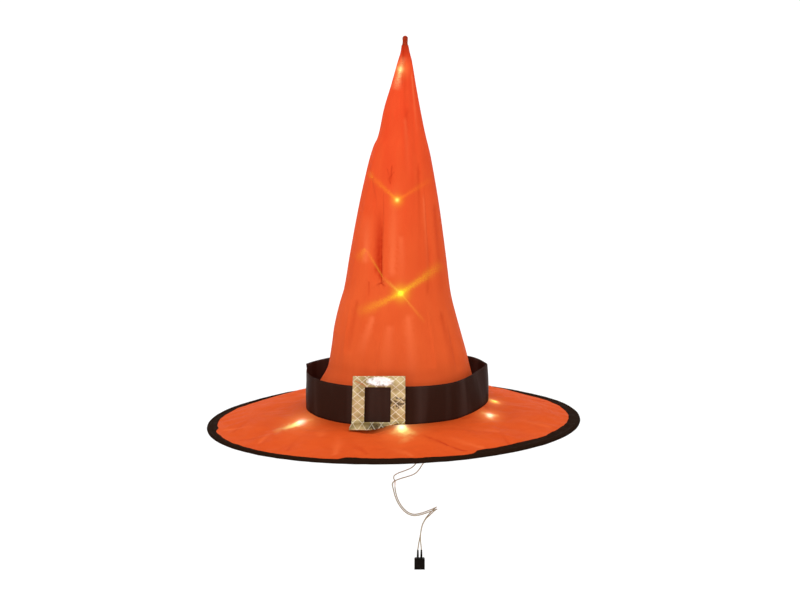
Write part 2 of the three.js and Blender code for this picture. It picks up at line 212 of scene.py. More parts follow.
def brim_wave(degrees, out):
    """Height of the brim's soft waves at a share of the way out to the rim."""
    turn = math.radians(degrees)
    c, s = math.cos(turn), math.sin(turn)
    loose = math.sin(math.pi * min(1, out)) ** 0.8 if out > 0 else 0
    broad = 1.5 * ripple(1.3 * c, 1.3 * s, 0.9 * out, 1)
    folds = 0.9 * ripple(4.2 * c, 4.2 * s, 1.1 * out, 2)
    pucker = 0.5 * ripple(13 * c, 13 * s, 2 * out, 3) * smooth_step(0.55, 0.95, out)
    held = 1 - smooth_step(0.93, 1.0, out)
    radius = sizes().opening / MM + out * (sizes().rim - sizes().opening) / MM
    pressed_at, pressed_radius = 257, 107  # the buckle's foot presses the cloth down
    away = math.radians(turn_from(degrees, pressed_at)) * radius
    pressed = 2.3 * bell(math.hypot(away / 17, (radius - pressed_radius) / 9), 1)
    back = smooth_step(34, 62, degrees) - smooth_step(122, 148, degrees)
    puffed = 4.4 * back * bell((out - 0.78) / 0.21, 1)  # at the back the cloth stands above the tape
    sunk = front_sink(degrees) * bell(out / 0.35, 1)
    uneven = 0.35 * ripple(2.1 * c, 2.1 * s, 0, 4) * min(1, out)
    return loose * (broad + folds) - pressed - sunk + puffed + held * pucker + uneven


# Where the crown's left and right edges run: height, distance from the axis.
CROWN_LEFT = [
    (0, -90), (10, -85.5), (23, -78.7), (38, -70), (50, -67.2), (69, -64.3), (79, -63), (93, -60),
    (106, -56.6), (120, -52.4), (155, -46.3), (203, -37.1), (240, -28.8), (251, -25.9), (263, -21.9),
    (269, -18.8), (277, -16.4), (299, -11.8), (322, -4.8), (346, 2.1), (354, 4.6), (361, 5.6),
]
CROWN_RIGHT = [
    (0, 90), (10, 86), (23, 79.5), (38, 75), (50, 72.2), (69, 66.9), (93, 60.2), (106, 56.9),
    (118, 54.6), (155, 50), (203, 43.4), (251, 34.9), (275, 29.1), (299, 24.2), (322, 20),
    (346, 15.9), (354, 13.8), (361, 12.4),
]

# The crown's seen folds: side at the top and bottom, height from and to, depth, width, sharp side.
CROWN_FOLDS = [
    (-13.4, -14.2, 222, 129, 3.6, 9, 1),
    (-3, -6, 246, 220, 1.0, 3.5, -1),
    (8.4, 6.2, 356, 318, 1.1, 3.0, 1),
    (-30, -20, 262, 205, 1.3, 9, 1),
    (28, 34, 232, 150, 1.0, 7, -1),
    (-42, -50, 118, 60, 1.2, 8, -1),
    (30, 38, 108, 48, 1.3, 9, 1),
    (-14, -20, 92, 42, 0.9, 8, 1),
    (50, 61, 96, 40, 1.0, 6, -1),
]


PINCH_SIDE, PINCH_HEIGHT = -14.2, 130


def crown_fold(x, z):
    depth = 0
    for top, bottom, high, low, deep, width, side in CROWN_FOLDS:
        if not low < z < high:
            continue
        share = (z - low) / (high - low)
        middle = bottom + (top - bottom) * share
        fade = math.sin(math.pi * share**0.6) ** 0.7
        off = (x - middle) * -side
        steep = 0.9
        lip = bell(off, width) if off > 0 else bell(off, steep)
        depth += deep * fade * lip
    return depth


def crown_pinch(x, z):
    """The small gathered point where the long fold ends above the middle lamp."""
    dx, dz = x - PINCH_SIDE, z - PINCH_HEIGHT
    far = math.hypot(dx, dz)
    rays = math.sin(5 * math.atan2(dz, dx) + 0.6)
    return 0.55 * rays * bell(far - 3, 5)


def crown_point(degrees, z):
    """A point on the crown's outside."""
    turn = math.radians(degrees)
    left, right = follow(CROWN_LEFT, z), follow(CROWN_RIGHT, z)
    middle, half = (left + right) / 2, (right - left) / 2
    c, s = math.cos(turn), math.sin(turn)
    x = middle + half * c
    soft = smooth_step(20, 60, z) * min(1, half / 40)
    flutes = 1.5 * ripple(2.2 * c, 2.2 * s, z / 150, 5) + 0.7 * ripple(5.5 * c, 5.5 * s, z / 90, 6)
    edge = 1 - 0.75 * smooth_step(0.8, 1.0, abs(c))  # the outline stays where it is
    inward = -flutes * soft * edge
    if s < 0:
        facing = smooth_step(0, 0.35, -s)
        inward += facing * (crown_fold(x, z) + crown_pinch(x, z))
    seam = math.radians(degrees - 90) * half  # the back seam stands up as a thin ridge
    inward -= 0.6 * bell(seam, 1.2) * smooth_step(2, 8, z) * (1 - smooth_step(345, 358, z))
    inward += 0.35 * bell(abs(seam) - 3, 1.2) * smooth_step(2, 8, z)
    reach = half - inward
    rise = sizes().tilt * x * (1 - min(1, z / CROWN_HIGH.z))
    return Vector((middle + reach * c, reach * s, z + rise))


# ---- Meshes ----


def make_piece(name, points, faces, material, slot, replaces=(), shade_flat=False):
    """A mesh object from millimetre points, riding on the hat."""
    mesh = bpy.data.meshes.new(name)
    mesh.from_pydata([tuple(Vector(p) * MM) for p in points], [], faces)
    bm = bmesh.new()
    bm.from_mesh(mesh)
    bmesh.ops.recalc_face_normals(bm, faces=bm.faces)
    bm.to_mesh(mesh)
    bm.free()
    mesh.polygons.foreach_set("use_smooth", [not shade_flat] * len(mesh.polygons))
    piece = bpy.data.objects.new(name, mesh)
    bpy.context.scene.collection.objects.link(piece)
    mesh.materials.append(material)
    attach(piece, "root")
    if replaces:
        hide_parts(*replaces)
    return piece


def grid_faces(rows, columns, closed_columns=True, closed_rows=False, skip=lambda row, column: False):
    """Quads between rows of points, each row going round."""
    faces = []
    for r in range(rows if closed_rows else rows - 1):
        for c in range(columns if closed_columns else columns - 1):
            if skip(r, c):
                continue
            below, above = r * columns, ((r + 1) % rows) * columns
            right = (c + 1) % columns
            faces.append((below + c, below + right, above + right, above + c))
    return faces


def thicken(piece, thickness, offset=-1.0):
    """Gives a sheet its thickness: inwards at offset -1, and to both sides at 0."""
    shell = piece.modifiers.new("thickness", "SOLIDIFY")
    shell.thickness = thickness
    shell.offset = offset
    shell.use_even_offset = True
    return piece


def refine(piece):
    finer = piece.modifiers.new("smooth", "SUBSURF")
    finer.levels = finer.render_levels = 1
    return piece


def soften(piece, width, segments=2):
    edges = piece.modifiers.new("soft edges", "BEVEL")
    edges.width = width
    edges.segments = segments
    edges.limit_method = "ANGLE"
    return piece


def settle_cloth(piece, loose, most, sink, frames=14, growth=0.006):
    """Lets a sheet settle as cloth that is cut a little too big for its hoop.

    loose gives each point's freedom, from 0 where it is sewn or taped down to 1. No point moves
    further than most, or down further than sink, because the light string runs just below.
    """
    sewn = piece.vertex_groups.new(name="sewn")
    for index, freedom in enumerate(loose):
        sewn.add([index], 1 - freedom, "REPLACE")
    cloth = piece.modifiers.new("cloth", "CLOTH")
    made = cloth.settings
    made.quality = 5
    made.mass = 0.12
    made.tension_stiffness = made.compression_stiffness = 20
    made.shear_stiffness = 8
    made.bending_stiffness = 0.4
    made.air_damping = 6
    made.vertex_group_mass = "sewn"
    made.pin_stiffness = 2
    made.shrink_min = -growth
    made.effector_weights.gravity = 0
    cloth.collision_settings.use_collision = False
    scene = bpy.context.scene
    for number in range(1, frames + 1):
        scene.frame_set(number)
    shape = piece.evaluated_get(bpy.context.evaluated_depsgraph_get())
    settled = [v.co.copy() for v in shape.data.vertices]
    piece.modifiers.remove(cloth)
    scene.frame_set(1)
    for vertex, at, freedom in zip(piece.data.vertices, settled, loose):
        moved = (at - vertex.co) * min(1, 4 * freedom)
        if moved.length > most:
            moved *= most / moved.length
        moved.z = max(moved.z, -sink)
        vertex.co += moved
    piece.vertex_groups.remove(sewn)


def steps(count):
    return [i / count for i in range(count)]


def turned(name, outline, sides, place, axis, material, slot, replaces=(), wobble=0.0):
    """A solid of revolution: (radius, height) points set up along an axis from a place."""
    stand = Vector((0, 0, 1)).rotation_difference(Vector(axis)).to_matrix()
    points = []
    for k, (radius, height) in enumerate(outline):
        for share in steps(sides):
            turn = 2 * math.pi * share
            wide = radius * (1 + wobble * ripple(math.cos(turn) * 2, math.sin(turn) * 2, k * 0.6, 8))
            at = Vector((wide * math.cos(turn), wide * math.sin(turn), height))
            points.append(Vector(place) + stand @ at)
    faces = grid_faces(len(outline), sides)
    faces.append(tuple(range(sides)))
    faces.append(tuple(range(len(points) - sides, len(points))))
    return make_piece(name, points, faces, material, slot, replaces)


# ---- Shader node groups ----


def new_group(name, inputs, outputs):
    """An empty shader group with named sockets, (name, kind) or (name, kind, default), and its wiring."""
    group = bpy.data.node_groups.new(name, "ShaderNodeTree")
    kinds = {"value": "NodeSocketFloat", "colour": "NodeSocketColor", "vector": "NodeSocketVector"}
    for socket, kind, *default in inputs:
        made = group.interface.new_socket(socket, in_out="INPUT", socket_type=kinds[kind])
        if default:
            made.default_value = default[0]
    for socket, kind in outputs:
        group.interface.new_socket(socket, in_out="OUTPUT", socket_type=kinds[kind])
    given, result = group.nodes.new("NodeGroupInput"), group.nodes.new("NodeGroupOutput")
    return group, Wiring(group), given.outputs, result.inputs


class Wiring:
    """Short calls that add nodes to one node tree and join them."""

    def __init__(self, tree):
        self.tree = tree

    def set(self, socket, value):
        if isinstance(value, bpy.types.NodeSocket):
            self.tree.links.new(value, socket)
        elif value is not None:
            socket.default_value = value

    def node(self, kind, **inputs):
        made = self.tree.nodes.new(kind)
        for name, value in inputs.items():
            self.set(made.inputs[name.replace("_", " ")], value)
        return made

    def math(self, operation, a, b=None):
        made = self.tree.nodes.new("ShaderNodeMath")
        made.operation = operation
        for socket, value in zip(made.inputs, (a, b)):
            self.set(socket, value)
        return made.outputs[0]

    def times(self, a, b):
        return self.math("MULTIPLY", a, b)

    def plus(self, a, b):
        return self.math("ADD", a, b)

    def minus(self, a, b):
        return self.math("SUBTRACT", a, b)

    def vector(self, operation, a, b=None, scale=None):
        made = self.tree.nodes.new("ShaderNodeVectorMath")
        made.operation = operation
        self.set(made.inputs[0], a)
        self.set(made.inputs[1], b)
        if scale is not None:
            self.set(made.inputs["Scale"], scale)
        return made.outputs["Value"] if operation in ("DOT_PRODUCT", "LENGTH") else made.outputs[0]

    def mix(self, factor, a, b, blend="MIX"):
        made = self.tree.nodes.new("ShaderNodeMix")
        made.data_type = "RGBA"
        made.blend_type = blend
        for socket, value in zip((made.inputs[0], made.inputs[6], made.inputs[7]), (factor, a, b)):
            self.set(socket, value)
        return made.outputs[2]

    def split(self, vector):
        return self.node("ShaderNodeSeparateXYZ", Vector=vector).outputs

    def noise(self, vector, scale, detail=2.0, roughness=0.5):
        made = self.node("ShaderNodeTexNoise", Vector=vector, Scale=scale, Detail=detail, Roughness=roughness)
        return made.outputs[0]

    def span(self, value, low, high, to_low=0.0, to_high=1.0):
        made = self.tree.nodes.new("ShaderNodeMapRange")
        for socket, given in zip(made.inputs, (value, low, high, to_low, to_high)):
            self.set(socket, given)
        return made.outputs[0]

    def group(self, group, **inputs):
        made = self.tree.nodes.new("ShaderNodeGroup")
        made.node_tree = group
        for name, value in inputs.items():
            self.set(made.inputs[name.replace("_", " ")], value)
        return made


def opaque(colour):
    return (*colour, 1.0)


def stretched(wiring, vector, across, along, up):
    """A place, scaled for a texture that is longer one way than another."""
    return wiring.vector("MULTIPLY", vector, (across, along, up))


def build_weave():
    """Plain weave threads over a cloth: height, and a mask of the gaps between threads."""
    group, w, given, result = new_group(
        "cloth_weave",
        [("Place", "vector"), ("Threads", "value", 1400.0), ("Slub", "value", 0.4)],
        [("Height", "value"), ("Gaps", "value"), ("Slubs", "value")],
    )
    x, y, z = w.split(given["Place"])
    turn = w.math("ARCTAN2", y, x)
    reach = w.vector("LENGTH", w.vector("MULTIPLY", given["Place"], (1, 1, 0)))
    warp_place = w.times(w.times(turn, 0.06), given["Threads"])
    weft_place = w.times(w.plus(z, reach), given["Threads"])
    warp = w.math("SINE", w.times(warp_place, math.pi * 2))
    weft = w.math("SINE", w.times(weft_place, math.pi * 2))
    cross = w.times(warp, weft)
    slub = w.noise(stretched(w, given["Place"], 60, 60, 900), 1.0, 2)
    height = w.plus(w.times(cross, 0.5), w.times(slub, given["Slub"]))
    w.set(result["Height"], height)
    w.set(result["Gaps"], w.span(cross, -1, -0.2, 1, 0))
    w.set(result["Slubs"], slub)
    return group


def build_lamp_glow():
    """Light of one lamp through cloth: a hot core and a wide warm halo."""
    group, w, given, result = new_group(
        "lamp_glow",
        [
            ("Place", "vector"),
            ("Lamp", "vector"),
            ("Core", "value", 0.003),
            ("Halo", "value", 0.012),
            ("Hot", "colour", (1, 0.8, 0.3, 1)),
            ("Warm", "colour", (1, 0.4, 0.05, 1)),
        ],
        [("Glow", "colour")],
    )
    far = w.vector("LENGTH", w.vector("SUBTRACT", given["Place"], given["Lamp"]))

    def falloff(radius):
        share = w.math("DIVIDE", far, radius)
        return w.math("EXPONENT", w.times(w.math("POWER", share, 2.0), -1.0))

    hot = w.vector("SCALE", given["Hot"], scale=falloff(given["Core"]))
    warm = w.vector("SCALE", given["Warm"], scale=falloff(given["Halo"]))
    w.set(result["Glow"], w.vector("ADD", hot, warm))
    return group


def build_light_streak():
    """A streak of light along a taut fold, from a lamp out to a faded end, with a fibrous edge."""
    group, w, given, result = new_group(
        "light_streak",
        [
            ("Place", "vector"),
            ("Lamp", "vector"),
            ("Reach", "vector"),
            ("Width", "value", 0.001),
            ("Spread", "value", 0.7),
            ("Grain", "value", 0.0),
            ("Tint", "colour", (1, 0.4, 0.05, 1)),
        ],
        [("Glow", "colour")],
    )
    off = w.vector("SUBTRACT", given["Place"], given["Lamp"])
    reach = given["Reach"]
    share = w.math("DIVIDE", w.vector("DOT_PRODUCT", off, reach), w.vector("DOT_PRODUCT", reach, reach))
    side = w.vector("LENGTH", w.vector("SUBTRACT", off, w.vector("SCALE", reach, scale=share)))
    frayed = w.times(w.noise(stretched(w, given["Place"], 260, 260, 260), 1.0, 3), 1.3)
    spread = w.times(share, given["Spread"])
    wide = w.times(given["Width"], w.plus(spread, frayed))
    across = w.math("EXPONENT", w.times(w.math("POWER", w.math("DIVIDE", side, wide), 2.0), -1.0))
    ahead = w.span(share, -0.02, 0.06)
    fade = w.math("POWER", w.span(share, 0.0, 1.0, 1.0, 0.0), 0.8)
    mask = w.times(w.times(across, ahead), fade)
    fibres = w.span(w.noise(given["Place"], 900.0, 2, 0.6), 0.35, 0.65, 0, 2)
    grain = w.plus(w.minus(1.0, given["Grain"]), w.times(fibres, given["Grain"]))
    mask = w.times(mask, grain)
    w.set(result["Glow"], w.vector("SCALE", given["Tint"], scale=mask))
    return group


def build_scuffs():
    """Fine scuffs: a mask from coarse and fine noise together."""
    group, w, given, result = new_group(
        "scuffs",
        [("Place", "vector"), ("Fineness", "value", 300.0), ("Amount", "value", 0.5)],
        [("Mask", "value")],
    )
    coarse = w.noise(given["Place"], given["Fineness"], 4, 0.6)
    fine = w.noise(given["Place"], w.times(given["Fineness"], 5.0), 2, 0.5)
    both = w.times(coarse, fine)
    edge = w.minus(0.42, w.times(given["Amount"], 0.2))
    w.set(result["Mask"], w.span(both, edge, w.plus(edge, 0.08)))
    return group


GROUPS = {}


def shared(name, build):
    if name not in GROUPS:
        GROUPS[name] = build()
    return GROUPS[name]


def new_material(name):
    """A material with one Principled shader: its wiring, its shader and the object's own places."""
    material = bpy.data.materials.new(name)
    material.use_nodes = True
    tree = material.node_tree
    wiring = Wiring(tree)
    shader = tree.nodes["Principled BSDF"]
    place = tree.nodes.new("ShaderNodeTexCoord").outputs["Object"]
    return material, wiring, shader, place


def finish(wiring, shader, base, roughness, **constants):
    """Sets a material's colour and roughness, and the values that are the same all over it."""
    wiring.set(shader.inputs["Base Color"], base)
    wiring.set(shader.inputs["Roughness"], roughness)
    for name, value in constants.items():
        shader.inputs[name.replace("_", " ")].default_value = value


def bump(wiring, shader, height, distance, strength=1.0):
    made = wiring.node("ShaderNodeBump", Height=height, Strength=strength, Distance=distance)
    wiring.set(shader.inputs["Normal"], made.outputs[0])


# Lamps behind the crown: side, height, core, halo, and the streaks' reach across and up with width.
CROWN_LAMPS = [
    {
        "at": (4.8, 120.5), "core": 2.3, "halo": 7,
        "hot": (0.5, 0.95, 0.04), "warm": (0.15, 0.34, 0.0),
        "streaks": [
            ((42, 26.5), 2.6, (0.12, 0.26, 0.0)),
            ((-44, -21.5), 2.6, (0.12, 0.22, 0.0)),
            ((-18, 15.5), 1.1, (0.1, 0.2, 0.02)),
            ((24.5, -29.5), 0.8, (0.1, 0.13, 0.01)),
        ],
    },
    {
        "at": (1.3, 210.5), "core": 1.9, "halo": 5,
        "hot": (0.4, 0.7, 0.16), "warm": (0.12, 0.22, 0.0),
        "streaks": [((-30, 26), 1.6, (0.1, 0.11, 0.0)), ((36, 20.5), 1.5, (0.08, 0.065, 0.0))],
    },
    {
        "at": (4.6, 337.5), "core": 2.6, "halo": 7.5,
        "hot": (0.3, 0.55, 0.22), "warm": (0.16, 0.14, 0.03),
        "streaks": [((-5, -21), 2.0, (0.25, 0.42, 0.2)), ((3, 13), 1.8, (0.2, 0.2, 0.1))],
    },
]
# The thin bent streak on the left starts where the low lamp's own streak meets the long fold.
CROWN_STRAY_STREAKS = [
    ((-12.5, 135), (-17.5, 27.5), 0.9, (0.1, 0.15, 0.01)),
    ((-30, 162.5), (-9, -13.5), 2.4, (0.05, 0.09, 0.0)),
    ((-23, 231), (-4, 6), 2.2, (0.06, 0.08, 0.0)),
]

# Lamps under the brim: degrees, radius, core, halo, brightness, and rays (across, back, width, share).
BRIM_LAMPS = [
    (214.7, 112.5, 4.2, 14, 1.0, [(-17, -18, 4.4, 1.3), (13, 5, 1.8, 0.7), (-26, -24, 4.2, 0.8)]),
    (
        273.3, 97, 4.6, 17, 0.97,
        [(5, -46, 3.8, 1.5), (15, -32, 3.4, 1.3), (-10, -26, 3.2, 1.0), (-3, -34, 2.6, 0.8)],
    ),
    (
        329, 108.5, 3.2, 10, 1.0,
        [(10, 3, 1.8, 0.8), (-9, 8, 1.8, 0.7), (2, -16, 2.0, 0.4), (-4, -7, 2.0, 0.6)],
    ),
    (1.7, 101, 3.4, 8, 0.85, [(6, -9, 1.8, 0.8), (-5, 14, 1.8, 0.8), (8, 6, 1.4, 0.6)]),
    (135, 123, 3.8, 9, 0.85, [(-7, 4, 2.0, 0.6)]),
    (50, 112, 3.6, 10, 0.9, []),
    (95, 115, 3.6, 10, 0.9, []),
]


def glow_sum(wiring, glows):
    total = glows[0]
    for glow in glows[1:]:
        total = wiring.vector("ADD", total, glow)
    return total


def cloth_colour(wiring, place, weave):
    """Orange that goes redder to the tip, with faint streaks and slubs in the cloth."""
    c = colours()
    height = wiring.split(place)[2]
    upward = wiring.span(height, 0.1, 0.35)
    base = wiring.mix(upward, opaque(c.cloth), opaque(c.cloth_deep))
    base = wiring.mix(wiring.span(height, 0.343, 0.364, 0.0, 0.85), base, opaque(c.knot))
    streaks = wiring.noise(stretched(wiring, place, 90, 90, 12), 1.0, 3)
    base = wiring.mix(wiring.span(streaks, 0.3, 0.7, 0.0, 0.22), base, (0.9, 0.16, 0.04, 1))
    blotches = wiring.noise(place, 22.0, 2)
    base = wiring.mix(wiring.span(blotches, 0.35, 0.75, 0.0, 0.18), base, (0.6, 0.045, 0.008, 1))
    return wiring.mix(wiring.times(weave.outputs["Gaps"], 0.18), base, (0.45, 0.035, 0.006, 1))


def orange_cloth(name, glows, creases, painted_shade):
    """Thin woven polyester with pressed creases in painted shade and raised folds in painted highlights, and
    the lamps shining through it.
    """
    material, w, shader, place = new_material(name)
    weave = w.group(shared("cloth_weave", build_weave), Place=place, Threads=1500.0, Slub=0.5)
    # Painted shade darkens the pressed creases, which also sink the bump, and painted highlights lighten the
    # raised folds.
    pressed, raised_highlights = creases(w, place)
    base = w.mix(pressed, cloth_colour(w, place, weave), (0.5, 0.026, 0.005, 1))
    base = w.mix(raised_highlights, base, (0.95, 0.2, 0.07, 1))
    # Painted shade multiplied over the whole piece: it darkens the brim and leaves the crown as it is.
    base = w.mix(1.0, base, painted_shade, "MULTIPLY")
    finish(w, shader, base, w.span(weave.outputs["Slubs"], 0.3, 0.7, 0.5, 0.66), Specular_IOR_Level=0.01)
    wrinkles = w.noise(stretched(w, place, 45, 45, 20), 1.0, 3, 0.55)
    height = w.plus(w.times(weave.outputs["Height"], 0.12), w.times(wrinkles, 2.2))
    height = w.minus(height, w.times(pressed, 1.5))
    bump(w, shader, height, 0.0006, 0.5)
    w.set(shader.inputs["Emission Color"], glow_sum(w, glows(w, place)))
    shader.inputs["Emission Strength"].default_value = 1.0
    return material


# Creases in the crown's front in painted shade, and raised folds in painted highlights: side, height, reach
# across and up, width, depth.
CROWN_CREASE_SHADE = [
    (-14.2, 129.5, 0.5, 62, 0.8, 1.0),
    (-16, 133, 0.5, 66, 2.2, 0.8),
    (-19, 138, 2, 68, 3.6, 0.65),
    (-14.2, 130, -5.5, -2.5, 0.9, 0.8),
    (-14.2, 130, 4.5, -3.6, 0.9, 0.8),
    (-13.8, 130, 3.5, 3.5, 0.8, 0.5),
    (-3.8, 244, -1.6, -20, 0.9, 0.6),
    (-1.5, 238, -7, -10, 0.7, 0.4),
    (-8.5, 241, 3, -12, 0.7, 0.4),
    (-5, 226, -3, 7, 0.7, 0.5),
    (7.4, 363, -1.2, -46, 0.8, 1.0),
    (8.6, 358, 0.5, -70, 1.6, 0.45),
    (-26.4, 131, 0, -16, 1.0, 0.5),
    (22, 245, 2, -110, 2.2, 0.35),
    (11, 300, -3, -80, 3.0, 0.3),
    (31, 118, 3, 60, 2.0, 0.25),
    (-38, 112, -9, -50, 2.6, 0.35),
    (44, 100, 14, -56, 2.6, 0.35),
    (38, 205, 8, -90, 2.4, 0.35),
    (-32, 236, -9, -50, 2.2, 0.35),
]
# Raised folds of the crown, painted lighter as painted highlights
CROWN_RAISED_HIGHLIGHTS = [
    (-30, 148, 2, 48, 4.0, 0.55),
    (-4, 136, 3, 92, 4.6, 0.5),
    (5, 176, 1, -52, 4.0, 0.35),
    (15.5, 334, 5.5, -60, 1.0, 0.55),
    (12, 100, 5, -70, 5.0, 0.45),
    (-22, 98, -14, -40, 4.0, 0.55),
    (27, 214, 5, -80, 1.4, 0.35),
    (-6, 90, -3, -44, 5.0, 0.35),
    (9, 290, 4, -60, 2.4, 0.25),
]


def ray(w, place, start, reach, width, tint, **more):
    """A streak from a start, with its reach and width, in metres."""
    streak = shared("light_streak", build_light_streak)
    made = w.group(streak, Place=place, Lamp=start, Reach=reach, Width=width, Tint=opaque(tint), **more)
    return made.outputs[0]


def halo_of(w, place, at, core, halo, hot, warm):
    """A lamp's hot core and its halo, with radii in millimetres."""
    lamp = shared("lamp_glow", build_lamp_glow)
    radii = {"Core": core * MM, "Halo": halo * MM}
    made = w.group(lamp, Place=place, Lamp=at, **radii, Hot=opaque(hot), Warm=opaque(warm))
    return made.outputs[0]


def crease_shading_masks(w, place, pressed, raised_highlights, lay):
    """The sum of the pressed creases' painted shade and of the raised folds' painted highlights, as two
    masks; lay makes the ends in metres.
    """
    masks = []
    for creases in (pressed, raised_highlights):
        made = []
        for crease in creases:
            start, reach, width, depth = lay(crease)
            made.append(ray(w, place, start, reach, width, (depth, depth, depth)))
        total = w.split(glow_sum(w, made))[0]
        masks.append(w.span(total, 0, 1))
    return masks


def front_mask(w, place):
    """One on the hat's front half and nothing behind it, with a short blend."""
    return w.span(w.split(place)[1], -0.004, 0.002, 1, 0)


# Masks of painted shade in the crown's creases and painted highlights on its raised folds, on its front only
def crown_crease_shading(w, place):
    front = front_mask(w, place)

    def lay(crease):
        x, z, across, up, width, depth = crease
        return (x * MM, 0, z * MM), (across * MM, 0, up * MM), width * MM, depth

    flat = w.vector("MULTIPLY", place, (1, 0, 1))
    masks = crease_shading_masks(w, flat, CROWN_CREASE_SHADE, CROWN_RAISED_HIGHLIGHTS, lay)
    return [w.times(mask, front) for mask in masks]


# Creases in the brim in painted shade: degrees and radius of both ends, width, depth.
BRIM_CREASE_SHADE = [
    (293, 174, 288, 158, 1.8, 0.8),
    (288.5, 160, 283, 140, 2.6, 0.7),
    (284, 143, 281, 128, 2.4, 0.4),
    (262, 168, 250, 140, 4.0, 0.3),
    (236, 176, 232, 150, 3.0, 0.3),
    (212, 176, 222, 150, 1.6, 0.35),
    (203, 172, 190, 140, 3.5, 0.25),
    (308, 176, 312, 150, 2.2, 0.3),
    (20, 172, 24, 140, 2.0, 0.35),
    (262, 122, 268, 97, 3.0, 0.4),
    (312, 96, 322, 100, 3.0, 0.4),
    (345, 93, 335, 104, 2.6, 0.5),
]
# Raised folds of the brim in painted highlights, with the same columns
BRIM_RAISED_HIGHLIGHTS = [
    (252, 172, 246, 128, 4.5, 0.5),
    (299, 174, 290, 140, 4.0, 0.5),
    (222, 172, 214, 140, 3.2, 0.45),
    (276, 176, 268, 150, 4.0, 0.45),
    (335, 170, 330, 130, 4.0, 0.35),
    (196, 176, 206, 150, 2.6, 0.5),
    (240, 140, 232, 110, 5.0, 0.35),
    (312, 150, 306, 120, 5.0, 0.35),
]


# Masks of painted shade in the brim's creases and painted highlights on its raised folds
def brim_crease_shading(w, place):
    def lay(crease):
        degrees, radius, end_degrees, end_radius, width, depth = crease
        start = brim_point(radius, degrees) * MM
        reach = brim_point(end_radius, end_degrees) * MM - start
        return (*start.xy, 0), (*reach.xy, 0), width * MM, depth

    flat = w.vector("MULTIPLY", place, (1, 1, 0))
    return crease_shading_masks(w, flat, BRIM_CREASE_SHADE, BRIM_RAISED_HIGHLIGHTS, lay)


def crown_glows(w, place):
    """Glows are laid out on the crown's front as seen square on, so depth is left out."""
    flat = w.vector("MULTIPLY", place, (1, 0, 1))
    made = []

    def on_front(side, up):
        return (side * MM, 0, up * MM)

    def add_streak(start, reach, width, tint):
        start, reach = on_front(*start), on_front(*reach)
        made.append(ray(w, flat, start, reach, width * MM, tint, Spread=1.5, Grain=0.6))

    for glow in CROWN_LAMPS:
        at = on_front(*glow["at"])
        made.append(halo_of(w, flat, at, glow["core"], glow["halo"], glow["hot"], glow["warm"]))
        for streak in glow["streaks"]:
            add_streak(glow["at"], *streak)
    for streak in CROWN_STRAY_STREAKS:
        add_streak(*streak)
    return [w.vector("SCALE", glow_sum(w, made), scale=front_mask(w, place))]


GLOW_DEPTH = 0.5  # glows on the brim run long from front to back, where the strings tent the cloth
RAY_TINT = (0.25, 0.5, 0.16)
BRIM_WARM = (0.3, 0.14, 0.04)


def brim_glows(w, place):
    made = []
    place = stretched(w, place, 1, GLOW_DEPTH, 1)
    for degrees, radius, core, halo, bright, rays in BRIM_LAMPS:
        at = brim_point(radius, degrees) * MM
        at.y *= GLOW_DEPTH
        for across, back, width, share in rays:
            reach = (across * MM, back * GLOW_DEPTH * MM, 0.16 * back * MM)
            tint = tuple(part * share * bright for part in RAY_TINT)
            made.append(ray(w, place, tuple(at), reach, width * MM, tint))
        hot = (0.8, min(1, 0.85 * bright), min(1, max(0, 4 * bright - 3.3)))
        made.append(halo_of(w, place, tuple(at), core, halo, hot, BRIM_WARM))
    return made


def black_tape():
    """Woven binding tape with a few pale fibres."""
    material, w, shader, place = new_material("black_tape")
    weave = w.group(shared("cloth_weave", build_weave), Place=place, Threads=1800.0, Slub=0.6)
    lint = w.span(w.noise(stretched(w, place, 700, 700, 1400), 1.0, 2), 0.68, 0.8)
    base = w.mix(w.times(lint, 0.25), opaque(colours().tape), (0.12, 0.09, 0.07, 1))
    finish(w, shader, base, w.span(weave.outputs["Slubs"], 0.3, 0.7, 0.6, 0.8), Specular_IOR_Level=0.004)
    bump(w, shader, weave.outputs["Height"], 0.0004, 0.5)
    return material


def black_satin():
    """Satin ribbon: soft upright bands of painted sheen over fine threads."""
    material, w, shader, place = new_material("black_satin")
    weave = w.group(shared("cloth_weave", build_weave), Place=place, Threads=2600.0, Slub=0.8)
    bands = w.noise(stretched(w, place, 55, 55, 5), 1.0, 2, 0.45)
    sheen = w.span(bands, 0.42, 0.68)
    # Painted sheen: the bands are lightened in the base colour
    base = w.mix(w.times(sheen, 0.8), opaque(colours().satin), (0.055, 0.03, 0.024, 1))
    finish(w, shader, base, w.span(bands, 0.35, 0.7, 0.5, 0.34), Anisotropic=0.5, Specular_IOR_Level=0.01)
    folds = w.noise(stretched(w, place, 40, 40, 9), 1.0, 2)
    height = w.plus(w.times(weave.outputs["Height"], 0.1), w.times(folds, 1.6))
    bump(w, shader, height, 0.0005, 0.5)
    return material


def dark_red_cloth():
    material, w, shader, place = new_material("dark_red_cloth")
    weave = w.group(shared("cloth_weave", build_weave), Place=place, Threads=1500.0, Slub=0.6)
    turns = w.span(w.noise(stretched(w, place, 300, 300, 900), 1.0, 3), 0.35, 0.65)
    finish(
        w,
        shader,
        w.mix(turns, opaque(colours().knot), (0.5, 0.05, 0.012, 1)),
        w.span(turns, 0, 1, 0.75, 0.6),
        Specular_IOR_Level=0.05,
    )
    bump(w, shader, w.plus(weave.outputs["Height"], turns), 0.0003, 0.6)
    return material


def foil_spot(w, place, at, across, up, ragged=0.0):
    """A soft-edged oval on the buckle, as a mask, round a place given in millimetres."""
    off = w.vector("SUBTRACT", place, tuple(v * MM for v in at))
    far = w.vector("LENGTH", stretched(w, off, 1 / (across * MM), 0, 1 / (up * MM)))
    broken = w.times(w.noise(place, 420.0, 3, 0.6), ragged)
    return w.span(w.plus(far, broken), 0.8 + ragged / 2, 1.1 + ragged / 2, 1, 0)


